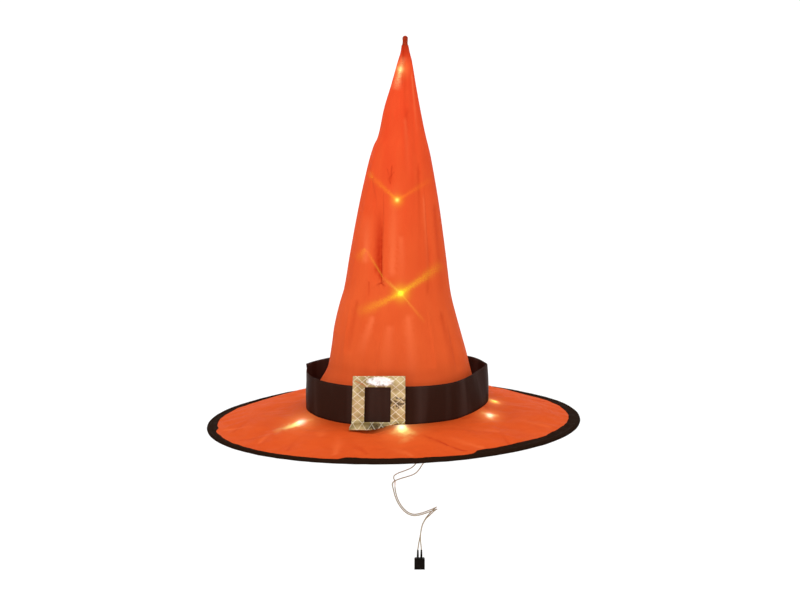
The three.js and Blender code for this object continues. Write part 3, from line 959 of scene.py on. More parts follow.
def gold_foil():
    """Crinkled gold foil with a pale diamond lattice, a painted highlight on a crumpled patch at the top,
    dark specks on the right bar and a painted dark reflection on the bottom bar.
    """
    material, w, shader, place = new_material("gold_foil")
    x, _, z = w.split(place)
    lattice = None
    cell_wide, cell_tall = 9.2 * MM, 8.0 * MM
    for lean in (1, -1):
        line = w.plus(w.math("DIVIDE", x, cell_wide), w.math("DIVIDE", z, cell_tall * lean))
        near = w.math("ABSOLUTE", w.minus(w.math("FRACT", line), 0.5))
        thin = w.span(near, 0.022, 0.055, 1, 0)
        lattice = thin if lattice is None else w.math("MAXIMUM", lattice, thin)
    crinkle = w.noise(place, 160.0, 4, 0.6)
    broad = w.noise(place, 60.0, 2, 0.5)
    base = w.mix(w.span(broad, 0.4, 0.6), opaque(colours().foil), (0.54, 0.41, 0.19, 1))
    base = w.mix(w.times(lattice, 0.68), base, (0.95, 0.88, 0.72, 1))
    # Painted highlight: a silver-white patch on the top bar, where the bump is crumpled harder
    crumple_and_highlight = foil_spot(w, place, (-15, 0, 41), 13, 4.5, 0.5)
    bright = w.mix(w.span(crinkle, 0.5, 0.62), (1, 1, 1, 1), (0.5, 0.46, 0.43, 1))
    base = w.mix(w.times(crumple_and_highlight, 0.85), base, bright)
    # A thin orange line at the top left of the foil
    face = stretched(w, place, 1, 0, 1)
    orange_line = ray(w, face, (-0.039, 0, 0.041), (0.013, 0, -0.006), 0.0007, (1, 1, 1))
    base = w.mix(orange_line, base, (0.55, 0.12, 0.02, 1))
    # Dark patches, kept off the lattice lines: specks on the right bar, and a painted dark reflection on the
    # bent-out bottom bar
    dark_patch_noise = w.noise(place, 520.0, 3, 0.6)
    specks = w.times(foil_spot(w, place, (2, 0, 21), 9, 6), w.span(dark_patch_noise, 0.47, 0.54))
    # Painted dark reflection on the bottom bar
    below = w.times(foil_spot(w, place, (-17.5, 0, -3.5), 12, 4.2), w.span(dark_patch_noise, 0.42, 0.5))
    dark = w.times(w.math("MAXIMUM", specks, below), w.minus(1.0, lattice))
    base = w.mix(w.times(dark, 0.9), base, (0.05, 0.025, 0.01, 1))
    finish(w, shader, base, w.span(crinkle, 0.3, 0.7, 0.3, 0.5), Metallic=0.4)
    height = w.plus(w.times(crinkle, 0.7), w.times(lattice, 0.15))
    height = w.plus(height, w.times(crumple_and_highlight, w.times(crinkle, 1.5)))
    bump(w, shader, height, 0.0006, 0.6)
    return material


def clear_wire():
    """Copper strands twisted inside clear insulation."""
    material, w, shader, place = new_material("clear_wire")
    strand = w.span(w.noise(stretched(w, place, 1100, 1100, 700), 1.0, 2), 0.3, 0.7)
    finish(
        w,
        shader,
        w.mix(strand, opaque(colours().wire), (0.4, 0.31, 0.19, 1)),
        w.span(strand, 0, 1, 0.28, 0.4),
        Coat_Weight=0.1,
        Specular_IOR_Level=0.2,
    )
    bump(w, shader, strand, 0.0001, 0.4)
    return material


def moulded_plastic(name, colour, rough_low, rough_high):
    material, w, shader, place = new_material(name)
    grain = w.noise(place, 2600.0, 2)
    scuffs = w.group(shared("scuffs", build_scuffs), Place=place, Fineness=420.0, Amount=0.35)
    pale = tuple(min(1, part * 2.5 + 0.015) for part in colour)
    base = w.mix(w.times(scuffs.outputs["Mask"], 0.5), opaque(colour), opaque(pale))
    finish(w, shader, base, w.span(grain, 0.3, 0.7, rough_low, rough_high), Specular_IOR_Level=0.03)
    bump(w, shader, grain, 0.00008, 0.5)
    return material


def drawn_metal(name, colour):
    material, w, shader, place = new_material(name)
    lines = w.noise(stretched(w, place, 500, 500, 60), 1.0, 3)
    dark = tuple(part * 0.6 for part in colour)
    finish(
        w,
        shader,
        w.mix(w.span(lines, 0.3, 0.7), opaque(dark), opaque(colour)),
        w.span(lines, 0.3, 0.7, 0.25, 0.45),
        Metallic=1.0,
    )
    bump(w, shader, lines, 0.00005, 0.4)
    return material


def clear_resin():
    """A lit drop of resin: pale, glossy and brightest inside."""
    material, w, shader, place = new_material("clear_resin")
    haze = w.span(w.noise(place, 900.0, 2), 0.3, 0.7)
    finish(w, shader, w.mix(haze, (0.95, 0.85, 0.6, 1), (1, 0.95, 0.8, 1)), w.span(haze, 0, 1, 0.08, 0.2))
    w.set(shader.inputs["Emission Color"], w.mix(haze, (1, 0.6, 0.16, 1), (1, 0.8, 0.4, 1)))
    shader.inputs["Emission Strength"].default_value = 0.7
    shader.inputs["Coat Weight"].default_value = 0.5
    bump(w, shader, haze, 0.0001, 0.3)
    return material


def splice_sleeve():
    """Milky clear shrink tube."""
    material, w, shader, place = new_material("splice_sleeve")
    haze = w.span(w.noise(place, 800.0, 2), 0.3, 0.7)
    finish(
        w,
        shader,
        w.mix(haze, (0.82, 0.78, 0.72, 1), (0.93, 0.91, 0.88, 1)),
        w.span(haze, 0, 1, 0.15, 0.3),
        Coat_Weight=0.4,
    )
    bump(w, shader, haze, 0.0001, 0.4)
    return material


def white_patch():
    material, w, shader, place = new_material("white_patch")
    weave = w.group(shared("cloth_weave", build_weave), Place=place, Threads=1100.0, Slub=0.5)
    soil = w.noise(place, 120.0, 3)
    finish(
        w,
        shader,
        w.mix(w.span(soil, 0.4, 0.8), (0.8, 0.77, 0.7, 1), (0.66, 0.6, 0.5, 1)),
        w.span(soil, 0.3, 0.7, 0.7, 0.85),
    )
    bump(w, shader, weave.outputs["Height"], 0.0003, 0.5)
    return material


def thread():
    material, w, shader, place = new_material("black_thread")
    twist = w.span(w.noise(stretched(w, place, 1500, 1500, 3000), 1.0, 2), 0.3, 0.7)
    finish(
        w,
        shader,
        w.mix(twist, (0.012, 0.01, 0.009, 1), (0.05, 0.04, 0.035, 1)),
        w.span(twist, 0, 1, 0.7, 0.85),
    )
    bump(w, shader, twist, 0.0002, 0.6)
    return material


def stage_paper():
    material, w, shader, place = new_material("stage_paper")
    grain = w.noise(place, 60.0, 3)
    pale = opaque(colours().stage)
    finish(
        w,
        shader,
        w.mix(w.span(grain, 0.3, 0.7, 0, 0.05), pale, (0.9, 0.9, 0.9, 1)),
        w.span(grain, 0.3, 0.7, 0.85, 0.95),
    )
    return material


MATERIALS = {}


def material(name, build, *given):
    if name not in MATERIALS:
        MATERIALS[name] = build(*given)
    return MATERIALS[name]


# ---- Lead ----

# The two conductors' routes, in millimetres, with Y from the front edge of the head opening.
LEAD_A = [
    (27, 10, -13.3), (27, 9.8, -18), (26.4, 9, -25), (24.6, 7.8, -32.5), (21.8, 6.7, -39),
    (18.5, 6, -43.5), (15, 5.5, -46.5), (9, 5, -49), (2.5, 5, -51.5), (-1.4, 5, -54),
    (-2, 5, -56.6), (-0.9, 5, -59.4), (-0.8, 5, -62.4), (-0.8, 5, -65.4), (-0.4, 5, -69),
    (0.7, 5, -74), (3, 5, -80), (7, 5, -86.2), (12, 5, -90.8), (17.5, 5, -92.7), (24, 5, -91.8),
    (31, 5, -89.4), (35.5, 5.1, -87.6), (37.8, 5.7, -86.7), (39.3, 7.1, -86.3), (39.7, 8.8, -86.6),
    (38.9, 10.4, -87.7), (37.2, 11.4, -89.5), (33, 11.5, -94), (29.4, 11.2, -98.6), (26.5, 11, -104),
    (25, 11, -109.5), (24.2, 11, -115), (23.3, 10.9, -119.8), (22.4, 10.7, -124.6),
    (21.6, 10.5, -130.2),
]
LEAD_B = [
    (33, 12.2, -15.3), (33, 11.7, -20), (32.4, 10.3, -26.5), (30.8, 8.4, -33.5), (28.4, 7, -39.5),
    (25, 6, -44.5), (23.3, 5.5, -47.2), (20, 4.5, -50.8), (16.2, 3.9, -53), (9.5, 3.3, -55.1),
    (2.5, 3.1, -57.3), (-2, 3.1, -59.6), (-3.4, 3.7, -62), (-3, 4.6, -65), (-2.1, 5, -69),
    (-0.7, 5, -74.5), (1.8, 5, -80.7), (6, 5, -87.2), (11.4, 5, -92.1), (17.5, 5, -94.1),
    (24.4, 5, -93.2), (31.5, 4.8, -90.8), (35.4, 4.7, -89.3), (38, 5.1, -88.4), (39.7, 6.3, -88.1),
    (40.2, 8, -88.5), (39.3, 9.5, -89.5), (37.3, 10.2, -91.2), (33.2, 10.1, -95.2), (29.3, 9.7, -99),
    (26.4, 9.6, -104.2), (25, 9.6, -109.5), (24.2, 9.6, -115), (24.1, 9.7, -119.8),
    (24.6, 10.1, -124.6), (25.1, 10.5, -130.2),
]


def from_front(route):
    return [Vector((x, y - sizes().opening / MM, z)) for x, y, z in route]


def smooth_route(points, per_span=8):
    """Points close together on the centripetal curve through the given ones."""
    first = 2 * points[0] - points[1]
    last = 2 * points[-1] - points[-2]
    ends = [first, *points, last]
    made = []
    for i in range(1, len(ends) - 2):
        p0, p1, p2, p3 = ends[i - 1 : i + 3]
        knots = [0.0]
        for a, b in ((p0, p1), (p1, p2), (p2, p3)):
            knots.append(knots[-1] + max(1e-6, (b - a).length ** 0.5))
        t0, t1, t2, t3 = knots
        for share in steps(per_span):
            t = t1 + (t2 - t1) * share
            a1 = p0.lerp(p1, (t - t0) / (t1 - t0))
            a2 = p1.lerp(p2, (t - t1) / (t2 - t1))
            a3 = p2.lerp(p3, (t - t2) / (t3 - t2))
            b1 = a1.lerp(a2, (t - t0) / (t2 - t0))
            b2 = a2.lerp(a3, (t - t1) / (t3 - t1))
            made.append(b1.lerp(b2, (t - t1) / (t2 - t1)))
    return [*made, points[-1]]


def route_length(points):
    return sum((b - a).length for a, b in zip(points, points[1:]))


def wire_curve(name, route, diameter, look, replaces):
    curve = bpy.data.curves.new(name, "CURVE")
    curve.dimensions = "3D"
    curve.bevel_depth = diameter / 2
    curve.bevel_resolution = 3
    curve.use_fill_caps = True
    spline = curve.splines.new("POLY")
    spline.points.add(len(route) - 1)
    for point, at in zip(spline.points, route):
        point.co = (*(at * MM), 1)
    spline.use_smooth = True
    curve.materials.append(look)
    wire = bpy.data.objects.new(name, curve)
    bpy.context.scene.collection.objects.link(wire)
    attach(wire, "root")
    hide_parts(*replaces)
    return wire


def use_cad(name, look):
    """Keeps a CAD node as it is, with its finish and smooth shading."""
    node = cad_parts[name]
    node.data.materials.clear()
    node.data.materials.append(look)
    node.data.polygons.foreach_set("use_smooth", [True] * len(node.data.polygons))
    soften(node, 0.1 * MM)
    node.modifiers.new("corners", "WEIGHTED_NORMAL")
    return node


class PieceOperator(bpy.types.Operator):
    """Base of the hat's operators: a build that raises on failure."""

    bl_options = {"REGISTER", "UNDO"}

    def execute(self, context):
        self.build()
        return {"FINISHED"}


CAMERA_PLACE = (0.0041, -1.4637, 0.312)
LOOK_DOWN = 8.0  # degrees below level
LENS = 65.6
STUDIO_STRENGTH = 0.68  # even light from all sides


class HAT_OT_stage(PieceOperator):
    """Makes the camera, the soft lights and the pale floor"""

    bl_idname = "hat.stage"
    bl_label = "Stage"

    def build(self):
        scene = bpy.context.scene
        scene.view_settings.view_transform = "Standard"
        camera = bpy.data.cameras.new("camera")
        camera.lens = LENS
        camera.sensor_width = 36
        camera.clip_end = 20
        eye = bpy.data.objects.new("camera", camera)
        eye.location = CAMERA_PLACE
        eye.rotation_euler = (math.radians(90 - LOOK_DOWN), 0, 0)
        scene.collection.objects.link(eye)
        scene.camera = eye

        world = bpy.data.worlds.new("studio")
        world.use_nodes = True
        background = world.node_tree.nodes["Background"]
        background.inputs["Color"].default_value = (1, 1, 1, 1)
        background.inputs["Strength"].default_value = STUDIO_STRENGTH
        scene.world = world

        lights = [
            ("front_softbox", (-0.3, -2.1, 0.5), (1.3, 1.3), 19),
            ("top_softbox", (0.1, -0.1, 2.0), (2.0, 2.0), 3),
            ("backdrop_light", (0, 0.5, 2.6), (3.0, 1.0), 44),
        ]
        aims = {"backdrop_light": Vector((0, 2.2, 0.5))}
        target = Vector((0, 0, 0.12))
        for name, at, (wide, tall), watts in lights:
            lamp = bpy.data.lights.new(name, "AREA")
            lamp.shape = "RECTANGLE"
            lamp.size, lamp.size_y = wide, tall
            lamp.energy = watts
            box = bpy.data.objects.new(name, lamp)
            box.location = at
            aim = aims.get(name, target) - Vector(at)
            box.rotation_euler = aim.to_track_quat("-Z", "Y").to_euler()
            scene.collection.objects.link(box)

        floor = -0.8
        side, bend, rows = 7.0, 1.2, 16
        outline = [(-side, floor), (side / 3 - bend, floor)]
        for k in range(1, rows + 1):
            turn = math.pi / 2 * k / rows
            outline.append((side / 3 - bend + bend * math.sin(turn), floor + bend * (1 - math.cos(turn))))
        outline.append((side / 3, floor + side))
        points = [Vector((x, y, z)) / MM for y, z in outline for x in (-side, side)]
        faces = [(2 * k, 2 * k + 1, 2 * k + 3, 2 * k + 2) for k in range(len(outline) - 1)]
        mesh = bpy.data.meshes.new("stage_floor")
        mesh.from_pydata([tuple(p * MM) for p in points], [], faces)
        mesh.polygons.foreach_set("use_smooth", [True] * len(mesh.polygons))
        mesh.materials.append(material("stage_paper", stage_paper))
        paper = bpy.data.objects.new("stage_floor", mesh)
        scene.collection.objects.link(paper)


class HAT_OT_lead(PieceOperator):
    """Makes the two hanging wires of the lead, with the splice, sleeves, connector and contacts"""

    bl_idname = "hat.lead"
    bl_label = "Lead"

    def build(self):
        look = material("clear_wire", clear_wire)
        black = material("black_plastic", moulded_plastic, "black_plastic", colours().plastic, 0.4, 0.55)
        tin = material("tin_plate", drawn_metal, "tin_plate", (0.62, 0.6, 0.55))
        housing = self.connector(black)
        sleeves = [self.sleeve(letter, black) for letter in "ab"]
        for letter in "ab":
            use_cad(f"contact_{letter}", tin)
        splice = self.splice()
        wires = {}
        for letter, given in (("a", LEAD_A), ("b", LEAD_B)):
            route = smooth_route(from_front(given))
            wires[letter] = (
                wire_curve(
                    f"lead_{letter}",
                    route,
                    sizes().wire,
                    look,
                    [f"lead_wire_{letter}"],
                ),
                route,
            )
        on_a = [splice, sleeves[0], housing, "contact_a", "contact_b"]
        for letter, with_pieces in (("a", on_a), ("b", [sleeves[1], housing])):
            wire, route = wires[letter]
            route_length(route) * MM
            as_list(with_pieces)

    def sleeve(self, letter, look):
        name = f"lead_sleeve_{letter}"
        foot, across, tall = foot_of(name)
        wide = across / 2
        outline = [
            (wide * 0.92, 0), (wide, 0.3), (wide, tall * 0.35), (wide * 0.93, tall * 0.55),
            (wide * 0.84, tall * 0.8), (wide * 0.8, tall - 0.3), (wide * 0.72, tall), (0.3, tall + 0.1),
        ]
        return turned(
            f"shrink_{letter}", outline, 20, foot, (0, 0, 1), look, "black_plastic", [name], 0.05
        )

    def splice(self):
        foot, _, tall = foot_of("lead_splice")
        outline = [
            (0.62, 0), (0.95, 0.35), (1.15, 1.2), (1.18, tall / 2), (1.1, tall - 1.3), (0.9, tall - 0.4),
            (0.6, tall),
        ]
        look = material("splice_sleeve", splice_sleeve)
        return turned(
            "splice", outline, 20, foot, (0, 0, 1), look, "clear_resin", ["lead_splice"], 0.08
        )

    def connector(self, look):
        """The block with a stepped top and two square sockets in its end."""
        low, high = PLUG_LOW, PLUG_HIGH
        middle = (low + high) / 2
        wide, deep = high.x - low.x, high.y - low.y
        body = bmesh.new()

        def block(x0, x1, y0, y1, z0, z1):
            made = bmesh.ops.create_cube(body, size=1)
            scale = Matrix.Diagonal(Vector((x1 - x0, y1 - y0, z1 - z0, 1)))
            centre = Vector(((x0 + x1) / 2, (y0 + y1) / 2, (z0 + z1) / 2))
            bmesh.ops.transform(body, matrix=Matrix.Translation(centre) @ scale, verts=made["verts"])

        contact_a, contact_b = (sum(node_box(f"contact_{k}"), Vector()) / 2 for k in "ab")
        half = 0.8
        floor, roof = low.z, high.z
        shelf = floor + 6.6
        left, right = contact_a.x - middle.x, contact_b.x - middle.x
        columns = [-wide / 2, left - half, left + half, right - half, right + half, wide / 2]
        for k in (0, 2, 4):  # walls beside the sockets
            block(columns[k], columns[k + 1], -deep / 2, deep / 2, floor - middle.z, shelf - middle.z)
        for k in (1, 3):
            block(columns[k], columns[k + 1], -deep / 2, -half, floor - middle.z, shelf - middle.z)
            block(columns[k], columns[k + 1], half, deep / 2, floor - middle.z, shelf - middle.z)
        block(-wide / 2, wide / 2, -deep / 2, deep / 2, shelf - middle.z, roof - 0.9 - middle.z)
        inset = 0.35
        block(
            -wide / 2 + inset, wide / 2 - inset, -deep / 2 + inset, deep / 2 - inset,
            roof - 0.9 - middle.z, roof - middle.z,
        )
        bmesh.ops.remove_doubles(body, verts=body.verts, dist=1e-4)
        inner = [f for f in body.faces if self.buried(f, body)]
        bmesh.ops.delete(body, geom=inner, context="FACES_ONLY")
        for vertex in body.verts:
            vertex.co += middle
        points = [v.co.copy() for v in body.verts]
        body.verts.index_update()
        faces = [tuple(v.index for v in f.verts) for f in body.faces]
        body.free()
        piece = make_piece(
            "connector_block", points, faces, look, "black_plastic", ["connector_housing"], shade_flat=True
        )
        soften(piece, 0.3 * MM, 3)
        return piece

    def buried(self, face, body):
        """True for a face that another box's face lies on."""
        centre = face.calc_center_median()
        return any(
            other is not face and (other.calc_center_median() - centre).length < 1e-3 for other in body.faces
        )


class HAT_OT_crown(PieceOperator):
    """Makes the cloth crown with its folds, back seam and rolled tip"""

    bl_idname = "hat.crown"
    bl_label = "Crown"

    def build(self):
        rows, columns = 220, 320
        low, high = 0.7, CROWN_OUTLINE_TOP
        points = []
        for r in range(rows):
            z = low + (high - low) * r / (rows - 1)
            points += [crown_point(self.column(share), z) for share in steps(columns)]
        faces = grid_faces(rows, columns)
        given = ("orange_crown", crown_glows, crown_crease_shading, (1, 1, 1, 1))
        look = material("orange_crown", orange_cloth, *given)
        crown = make_piece("crown", points, faces, look, "orange_cloth", ["crown_cone"])
        thicken(crown, sizes().cloth)
        self.cloth_area(points, rows, columns)
        self.knot()

    def column(self, share):
        """Direction of a column of points: they stand closer together at the front."""
        gather = 35
        return FULL_TURN * 0.75 + FULL_TURN * share - gather * math.sin(2 * math.pi * share)

    def cloth_area(self, points, rows, columns):
        """Area of the crown's cloth, in square metres, added up over its mesh."""
        total = 0
        for r in range(rows - 1):
            for c in range(columns):
                a, b = points[r * columns + c], points[r * columns + (c + 1) % columns]
                d = points[(r + 1) * columns + c]
                total += (b - a).cross(d - a).length
        return total * MM * MM

    def knot(self):
        """The rolled tip: cloth wound in on itself, a little wider at its round end."""
        foot, _, tall = foot_of("crown_tip_knot")
        hidden = 1.5  # the knot starts inside the crown's tip
        foot.z -= hidden
        tall += hidden
        outline = [
            (3.3, 0), (3.1, 1.2), (2.9, 2.6), (2.6, 4), (2.5, 5.5), (2.65, 7), (2.7, 8.6), (2.55, 10),
            (1.8, tall + 0.4), (0.8, tall + 1),
        ]
        look = material("dark_red_cloth", dark_red_cloth)
        made = turned(
            "tip_knot", outline, 28, foot, (0.02, 0, 1), look, "dark_red_cloth", ["crown_tip_knot"], 0.12
        )
        return refine(made)


CROWN_OUTLINE_TOP = CROWN_LEFT[-1][0]


# How wide the tape's top leg shows round the rim: degrees, share of the binding's width.
BINDING_WIDTHS = [
    (0, 1.0), (30, 0.92), (60, 0.7), (100, 0.62), (135, 0.72), (165, 0.87), (180, 0.86), (188, 0.86),
    (192, 0.92), (195, 0.64), (210, 0.56), (225, 0.52), (240, 0.5), (251, 0.5), (254, 0.5),
    (256, 0.94), (264, 0.9), (275, 0.8), (288, 0.68), (294, 0.72), (296, 1.1), (305, 1.14),
    (325, 1.1), (345, 1.04),
]


BRIM_PAINTED_SHADE = (0.85, 0.78, 0.56, 1)  # painted shade: the brim's cloth is the crown's cloth made darker
BRIM_LOOSE = 2.5  # furthest that the brim's cloth moves as it settles
BRIM_SINK = 0.3  # and furthest down
LAMP_TAPED = 9  # the cloth can't move this close to a lamp, and moves freely at twice that
LAMP_LIFT = 0.8
SEAM_TAPE = 0.35


class HAT_OT_brim(PieceOperator):
    """Makes the brim's cloth, its puckered binding and the seam tape inside the opening"""

    bl_idname = "hat.brim"
    bl_label = "Brim"

    def build(self):
        brim = self.cloth()
        binding = self.binding()
        tape = self.seam_tape()
        steel = material("spring_steel", drawn_metal, "spring_steel", (0.5, 0.51, 0.52))
        for name in ("brim_hoop", "hoop_ferrule"):
            use_cad(name, steel)

    def cloth(self):
        rows, columns = 44, 288
        inner, outer = sizes().opening / MM - 1, sizes().rim / MM - 5
        points = []
        for r in range(rows):
            radius = inner + (outer - inner) * r / (rows - 1)
            points += [self.lifted(radius, FULL_TURN * share) for share in steps(columns)]
        given = ("orange_brim", brim_glows, brim_crease_shading, BRIM_PAINTED_SHADE)
        look = material("orange_brim", orange_cloth, *given)
        brim = make_piece("brim", points, grid_faces(rows, columns), look, "orange_cloth", ["brim_panel"])
        free = [
            self.freedom(r / (rows - 1), inner + (outer - inner) * r / (rows - 1), FULL_TURN * share)
            for r in range(rows)
            for share in steps(columns)
        ]
        settle_cloth(brim, free, BRIM_LOOSE * MM, BRIM_SINK * MM)
        return thicken(brim, sizes().cloth, 0)

    def freedom(self, out, radius, degrees):
        """The cloth is sewn along the opening and inside the binding and taped at each lamp."""
        free = smooth_step(0.08, 0.25, out) * (1 - smooth_step(0.86, 0.94, out))
        for lamp_degrees, lamp_radius, *_ in BRIM_LAMPS:
            far = distance_on_brim(radius, degrees, lamp_radius, lamp_degrees)
            free *= smooth_step(LAMP_TAPED, 2 * LAMP_TAPED, far)
        return free

    def lifted(self, radius, degrees):
        """The brim's cloth stands up a little over each lamp."""
        point = brim_point(radius, degrees)
        for lamp_degrees, lamp_radius, *_ in BRIM_LAMPS:
            far = distance_on_brim(radius, degrees, lamp_radius, lamp_degrees)
            point.z += LAMP_LIFT * bell(far, 5)
        return point

    def binding(self):
        """Tape folded over the rim: top leg, roll round the hoop, bottom leg, with a wavy sewn edge."""
        s = sizes()
        columns = 420
        rim, roll = s.rim / MM, s.roll / MM
        rows = []
        for share in steps(columns):
            degrees = FULL_TURN * share
            turn = math.radians(degrees)
            c, si = math.cos(turn), math.sin(turn)
            width = around(BINDING_WIDTHS, degrees) * s.binding / MM
            width += 0.7 * ripple(9 * c, 9 * si, 0, 11) + 0.5 * ripple(26 * c, 26 * si, 0, 12)
            sewn = rim - width
            lift = 0.5 + 0.22 * ripple(34 * c, 34 * si, 0, 13)
            round_off = 1 + 0.08 * ripple(20 * c, 20 * si, 0, 14)
            core = rim - roll
            section = [(sewn, 0.3), (sewn + 0.15, lift + 0.1), (sewn + 0.9, lift + 0.25)]
            section += [(sewn + width * k, lift + 0.35 * k) for k in (0.3, 0.5)]
            for turn_share in range(7):
                bend = math.radians(120 - 40 * turn_share)
                section.append((core + roll * math.cos(bend), roll * round_off * math.sin(bend)))
            section += [(sewn + width * k, -lift - 0.35 * k) for k in (0.5, 0.3)]
            section += [(sewn + 0.9, -lift - 0.25), (sewn + 0.15, -lift - 0.1), (sewn, -0.3)]
            rows.append([brim_point(radius, degrees, height) for radius, height in section])
        sides = len(rows[0])
        points = [point for row in rows for point in row]
        faces = grid_faces(columns, sides, closed_rows=True)
        look = material("black_tape", black_tape)
        return make_piece("binding", points, faces, look, "black_tape", ["brim_binding"])

    def seam_tape(self):
        low, high = node_box("opening_tape")
        tall = high.z - low.z
        rows, columns = 8, 160
        foot = 1.2
        points = []
        for r in range(rows):
            share = r / (rows - 1)
            z = foot + (tall - 3.6) * share
            for around_share in steps(columns):
                degrees = FULL_TURN * around_share
                out = crown_point(degrees, z)
                inward = Vector((out.x, out.y, 0)).normalized()
                slack = 0.9 + 0.3 * ripple(out.x / 6, out.y / 6, share, 15)
                points.append(out - inward * slack)
        look = material("black_tape", black_tape)
        tape = make_piece(
            "seam_tape", points, grid_faces(rows, columns), look, "black_tape", ["opening_tape"]
        )
        return thicken(tape, SEAM_TAPE * MM, 0)


# The band's top and bottom edges seen from above: degrees, radius.
BAND_TOP = [
    (9, 93.4), (24, 97), (41, 99.5), (65, 96), (90, 93.5), (115, 93.5), (138, 95), (152, 95.5), (164, 95.4),
    (178, 91.5), (196, 92.3), (210, 95.3), (220, 96.6), (232, 97), (244, 96), (258, 94.2), (277, 94),
    (294, 94.6), (305, 93.6), (318, 89.5), (335, 85), (350, 86.5),
]
BAND_BOTTOM = [
    (9, 95.2), (24, 95.4), (41, 95), (65, 94), (90, 93.2), (115, 93.2), (138, 94), (152, 94), (164, 92.8),
    (178, 91.4), (196, 92.6), (210, 94), (232, 94.6), (258, 93.6), (277, 93.4), (305, 93.8),
    (318, 92.8), (335, 91.8), (350, 92.2),
]
# Creases from packing, which stand out: degrees, height.
BAND_CREASES = ((9, 1.8), (164, 2.0))
RIBBON = 0.45  # thickness of the satin


class HAT_OT_band(PieceOperator):
    """Makes the loose satin band with its two packing creases and its lapped end at the back"""

    bl_idname = "hat.band"
    bl_label = "Band"

    def build(self):
        look = material("black_satin", black_satin)
        points, rows, columns = [], 15, 360
        for r in range(rows):
            share = r / (rows - 1)
            points += [self.point(FULL_TURN * around_share, share) for around_share in steps(columns)]
        band = make_piece("band", points, grid_faces(rows, columns), look, "black_satin", ["hat_band"])
        thicken(band, RIBBON * MM)
        lap = self.lap(look)
        black = material("black_thread", thread)
        for name in ("band_tack_front", "band_tack_back", "buckle_tack_left", "buckle_tack_right"):
            use_cad(name, black)

    def point(self, degrees, share, proud=0.0):
        turn = math.radians(degrees)
        radius = (1 - share) * around(BAND_BOTTOM, degrees) + share * around(BAND_TOP, degrees)
        for crease, height in BAND_CREASES:
            radius += height * math.exp(-abs(turn_from(degrees, crease)) / 4.5)
        c, s = math.cos(turn), math.sin(turn)
        radius -= 1.7 * bell((degrees - 172) / 14, 1) * bell((share - 0.72) / 0.2, 1)
        radius += 0.5 * math.sin(math.pi * share) + 0.45 * ripple(5 * c, 5 * s, share, 16) + proud
        x, y = radius * c, radius * s
        tilt = sizes().tilt * x
        out = share_out(x, y)
        foot = 0.2 + 0.3 * ripple(3 * c, 3 * s, 0, 17) - out * sizes().rim_drop / MM
        foot -= front_sink(degrees)
        top = sizes().band / MM + 1.1 + 0.5 * ripple(2.4 * c, 2.4 * s, 0, 18)
        top -= 0.6 * front_sink(degrees)
        return Vector((x, y, foot + (top - foot) * share + tilt * (1 - 0.5 * share)))

    def lap(self, look):
        """The ribbon's end, lapped over its start at the back and turned under."""
        rows, columns = 15, 16
        start, end = 84, 97
        points = []
        for r in range(rows):
            for c in range(columns):
                share = c / (columns - 1)
                degrees = start + (end - start) * share
                proud = 0.75 - 0.35 * smooth_step(0.5, 1.0, share)
                points.append(self.point(degrees, r / (rows - 1), proud))
        faces = grid_faces(rows, columns, closed_columns=False)
        lap = make_piece("band_lap", points, faces, look, "black_satin")
        return thicken(lap, RIBBON * MM, 0)


class HAT_OT_buckle(PieceOperator):
    """Makes the square foil buckle with its bent-out bottom bar"""

    bl_idname = "hat.buckle"
    bl_label = "Buckle"

    def build(self):
        width = sizes().buckle / MM
        left_bar, right_bar, top_bar, window_foot = 12.3, 13.6, 10.6, 45.6
        rows, columns = 62, 52
        drop = 60.0  # length of the foil before its foot is cut
        points = []
        for r in range(rows):
            down = drop * r / (rows - 1)
            for c in range(columns):
                across = width * c / (columns - 1)
                points.append(self.point(across, down))

        def hollow(row, column):
            down = drop * (row + 0.5) / (rows - 1)
            across = width * (column + 0.5) / (columns - 1)
            inside = left_bar < across < width - right_bar and top_bar < down < window_foot
            beyond = down > self.foot(across)
            return inside or beyond

        look = material("gold_foil", gold_foil)
        faces = grid_faces(rows, columns, closed_columns=False, skip=hollow)
        used = sorted({v for f in faces for v in f})
        renumber = {v: k for k, v in enumerate(used)}
        points = [points[v] for v in used]
        faces = [tuple(renumber[v] for v in f) for f in faces]
        buckle = make_piece("buckle", points, faces, look, "gold_foil", ["buckle_frame"])
        thicken(buckle, 1.1 * MM, 0)
        soften(buckle, 0.25 * MM, 2)

    def foot(self, across):
        """How far down the foil reaches: the bottom bar is cut shorter towards the right."""
        return 58.6 - 12.6 * smooth_step(20, 47, across)

    def point(self, across, down):
        width = sizes().buckle / MM
        turn = math.radians(-99.5)
        along = Vector((-math.sin(turn), math.cos(turn), 0))
        out = Vector((math.cos(turn), math.sin(turn), 0))
        upright = 42.0
        top = 46.6
        stand_off = 96.2
        crumple = 0.35 * ripple(across / 9, down / 9, 0, 21) + 0.15 * ripple(across / 3, down / 3, 0, 22)
        lean = 0.5 * (across / width - 0.5)
        beyond = max(0, down - upright)
        radius, fall = 4.5, 0.29  # the foil turns outwards on a small bend, then follows the brim down
        swept = min(beyond, radius * math.pi / 2)
        angle = swept / radius
        flat = beyond - swept
        reach = stand_off + radius * (1 - math.cos(angle)) + flat + crumple
        height = top - min(down, upright) - radius * math.sin(angle) - fall * flat
        splay = 1.2 * min(1, down / upright) * (1 - across / width)
        at = along * (across - width / 2 - 0.2 * (down / upright) - splay) + out * reach
        rise = sizes().tilt * at.x
        return at + Vector((0, 0, height + rise + lean))


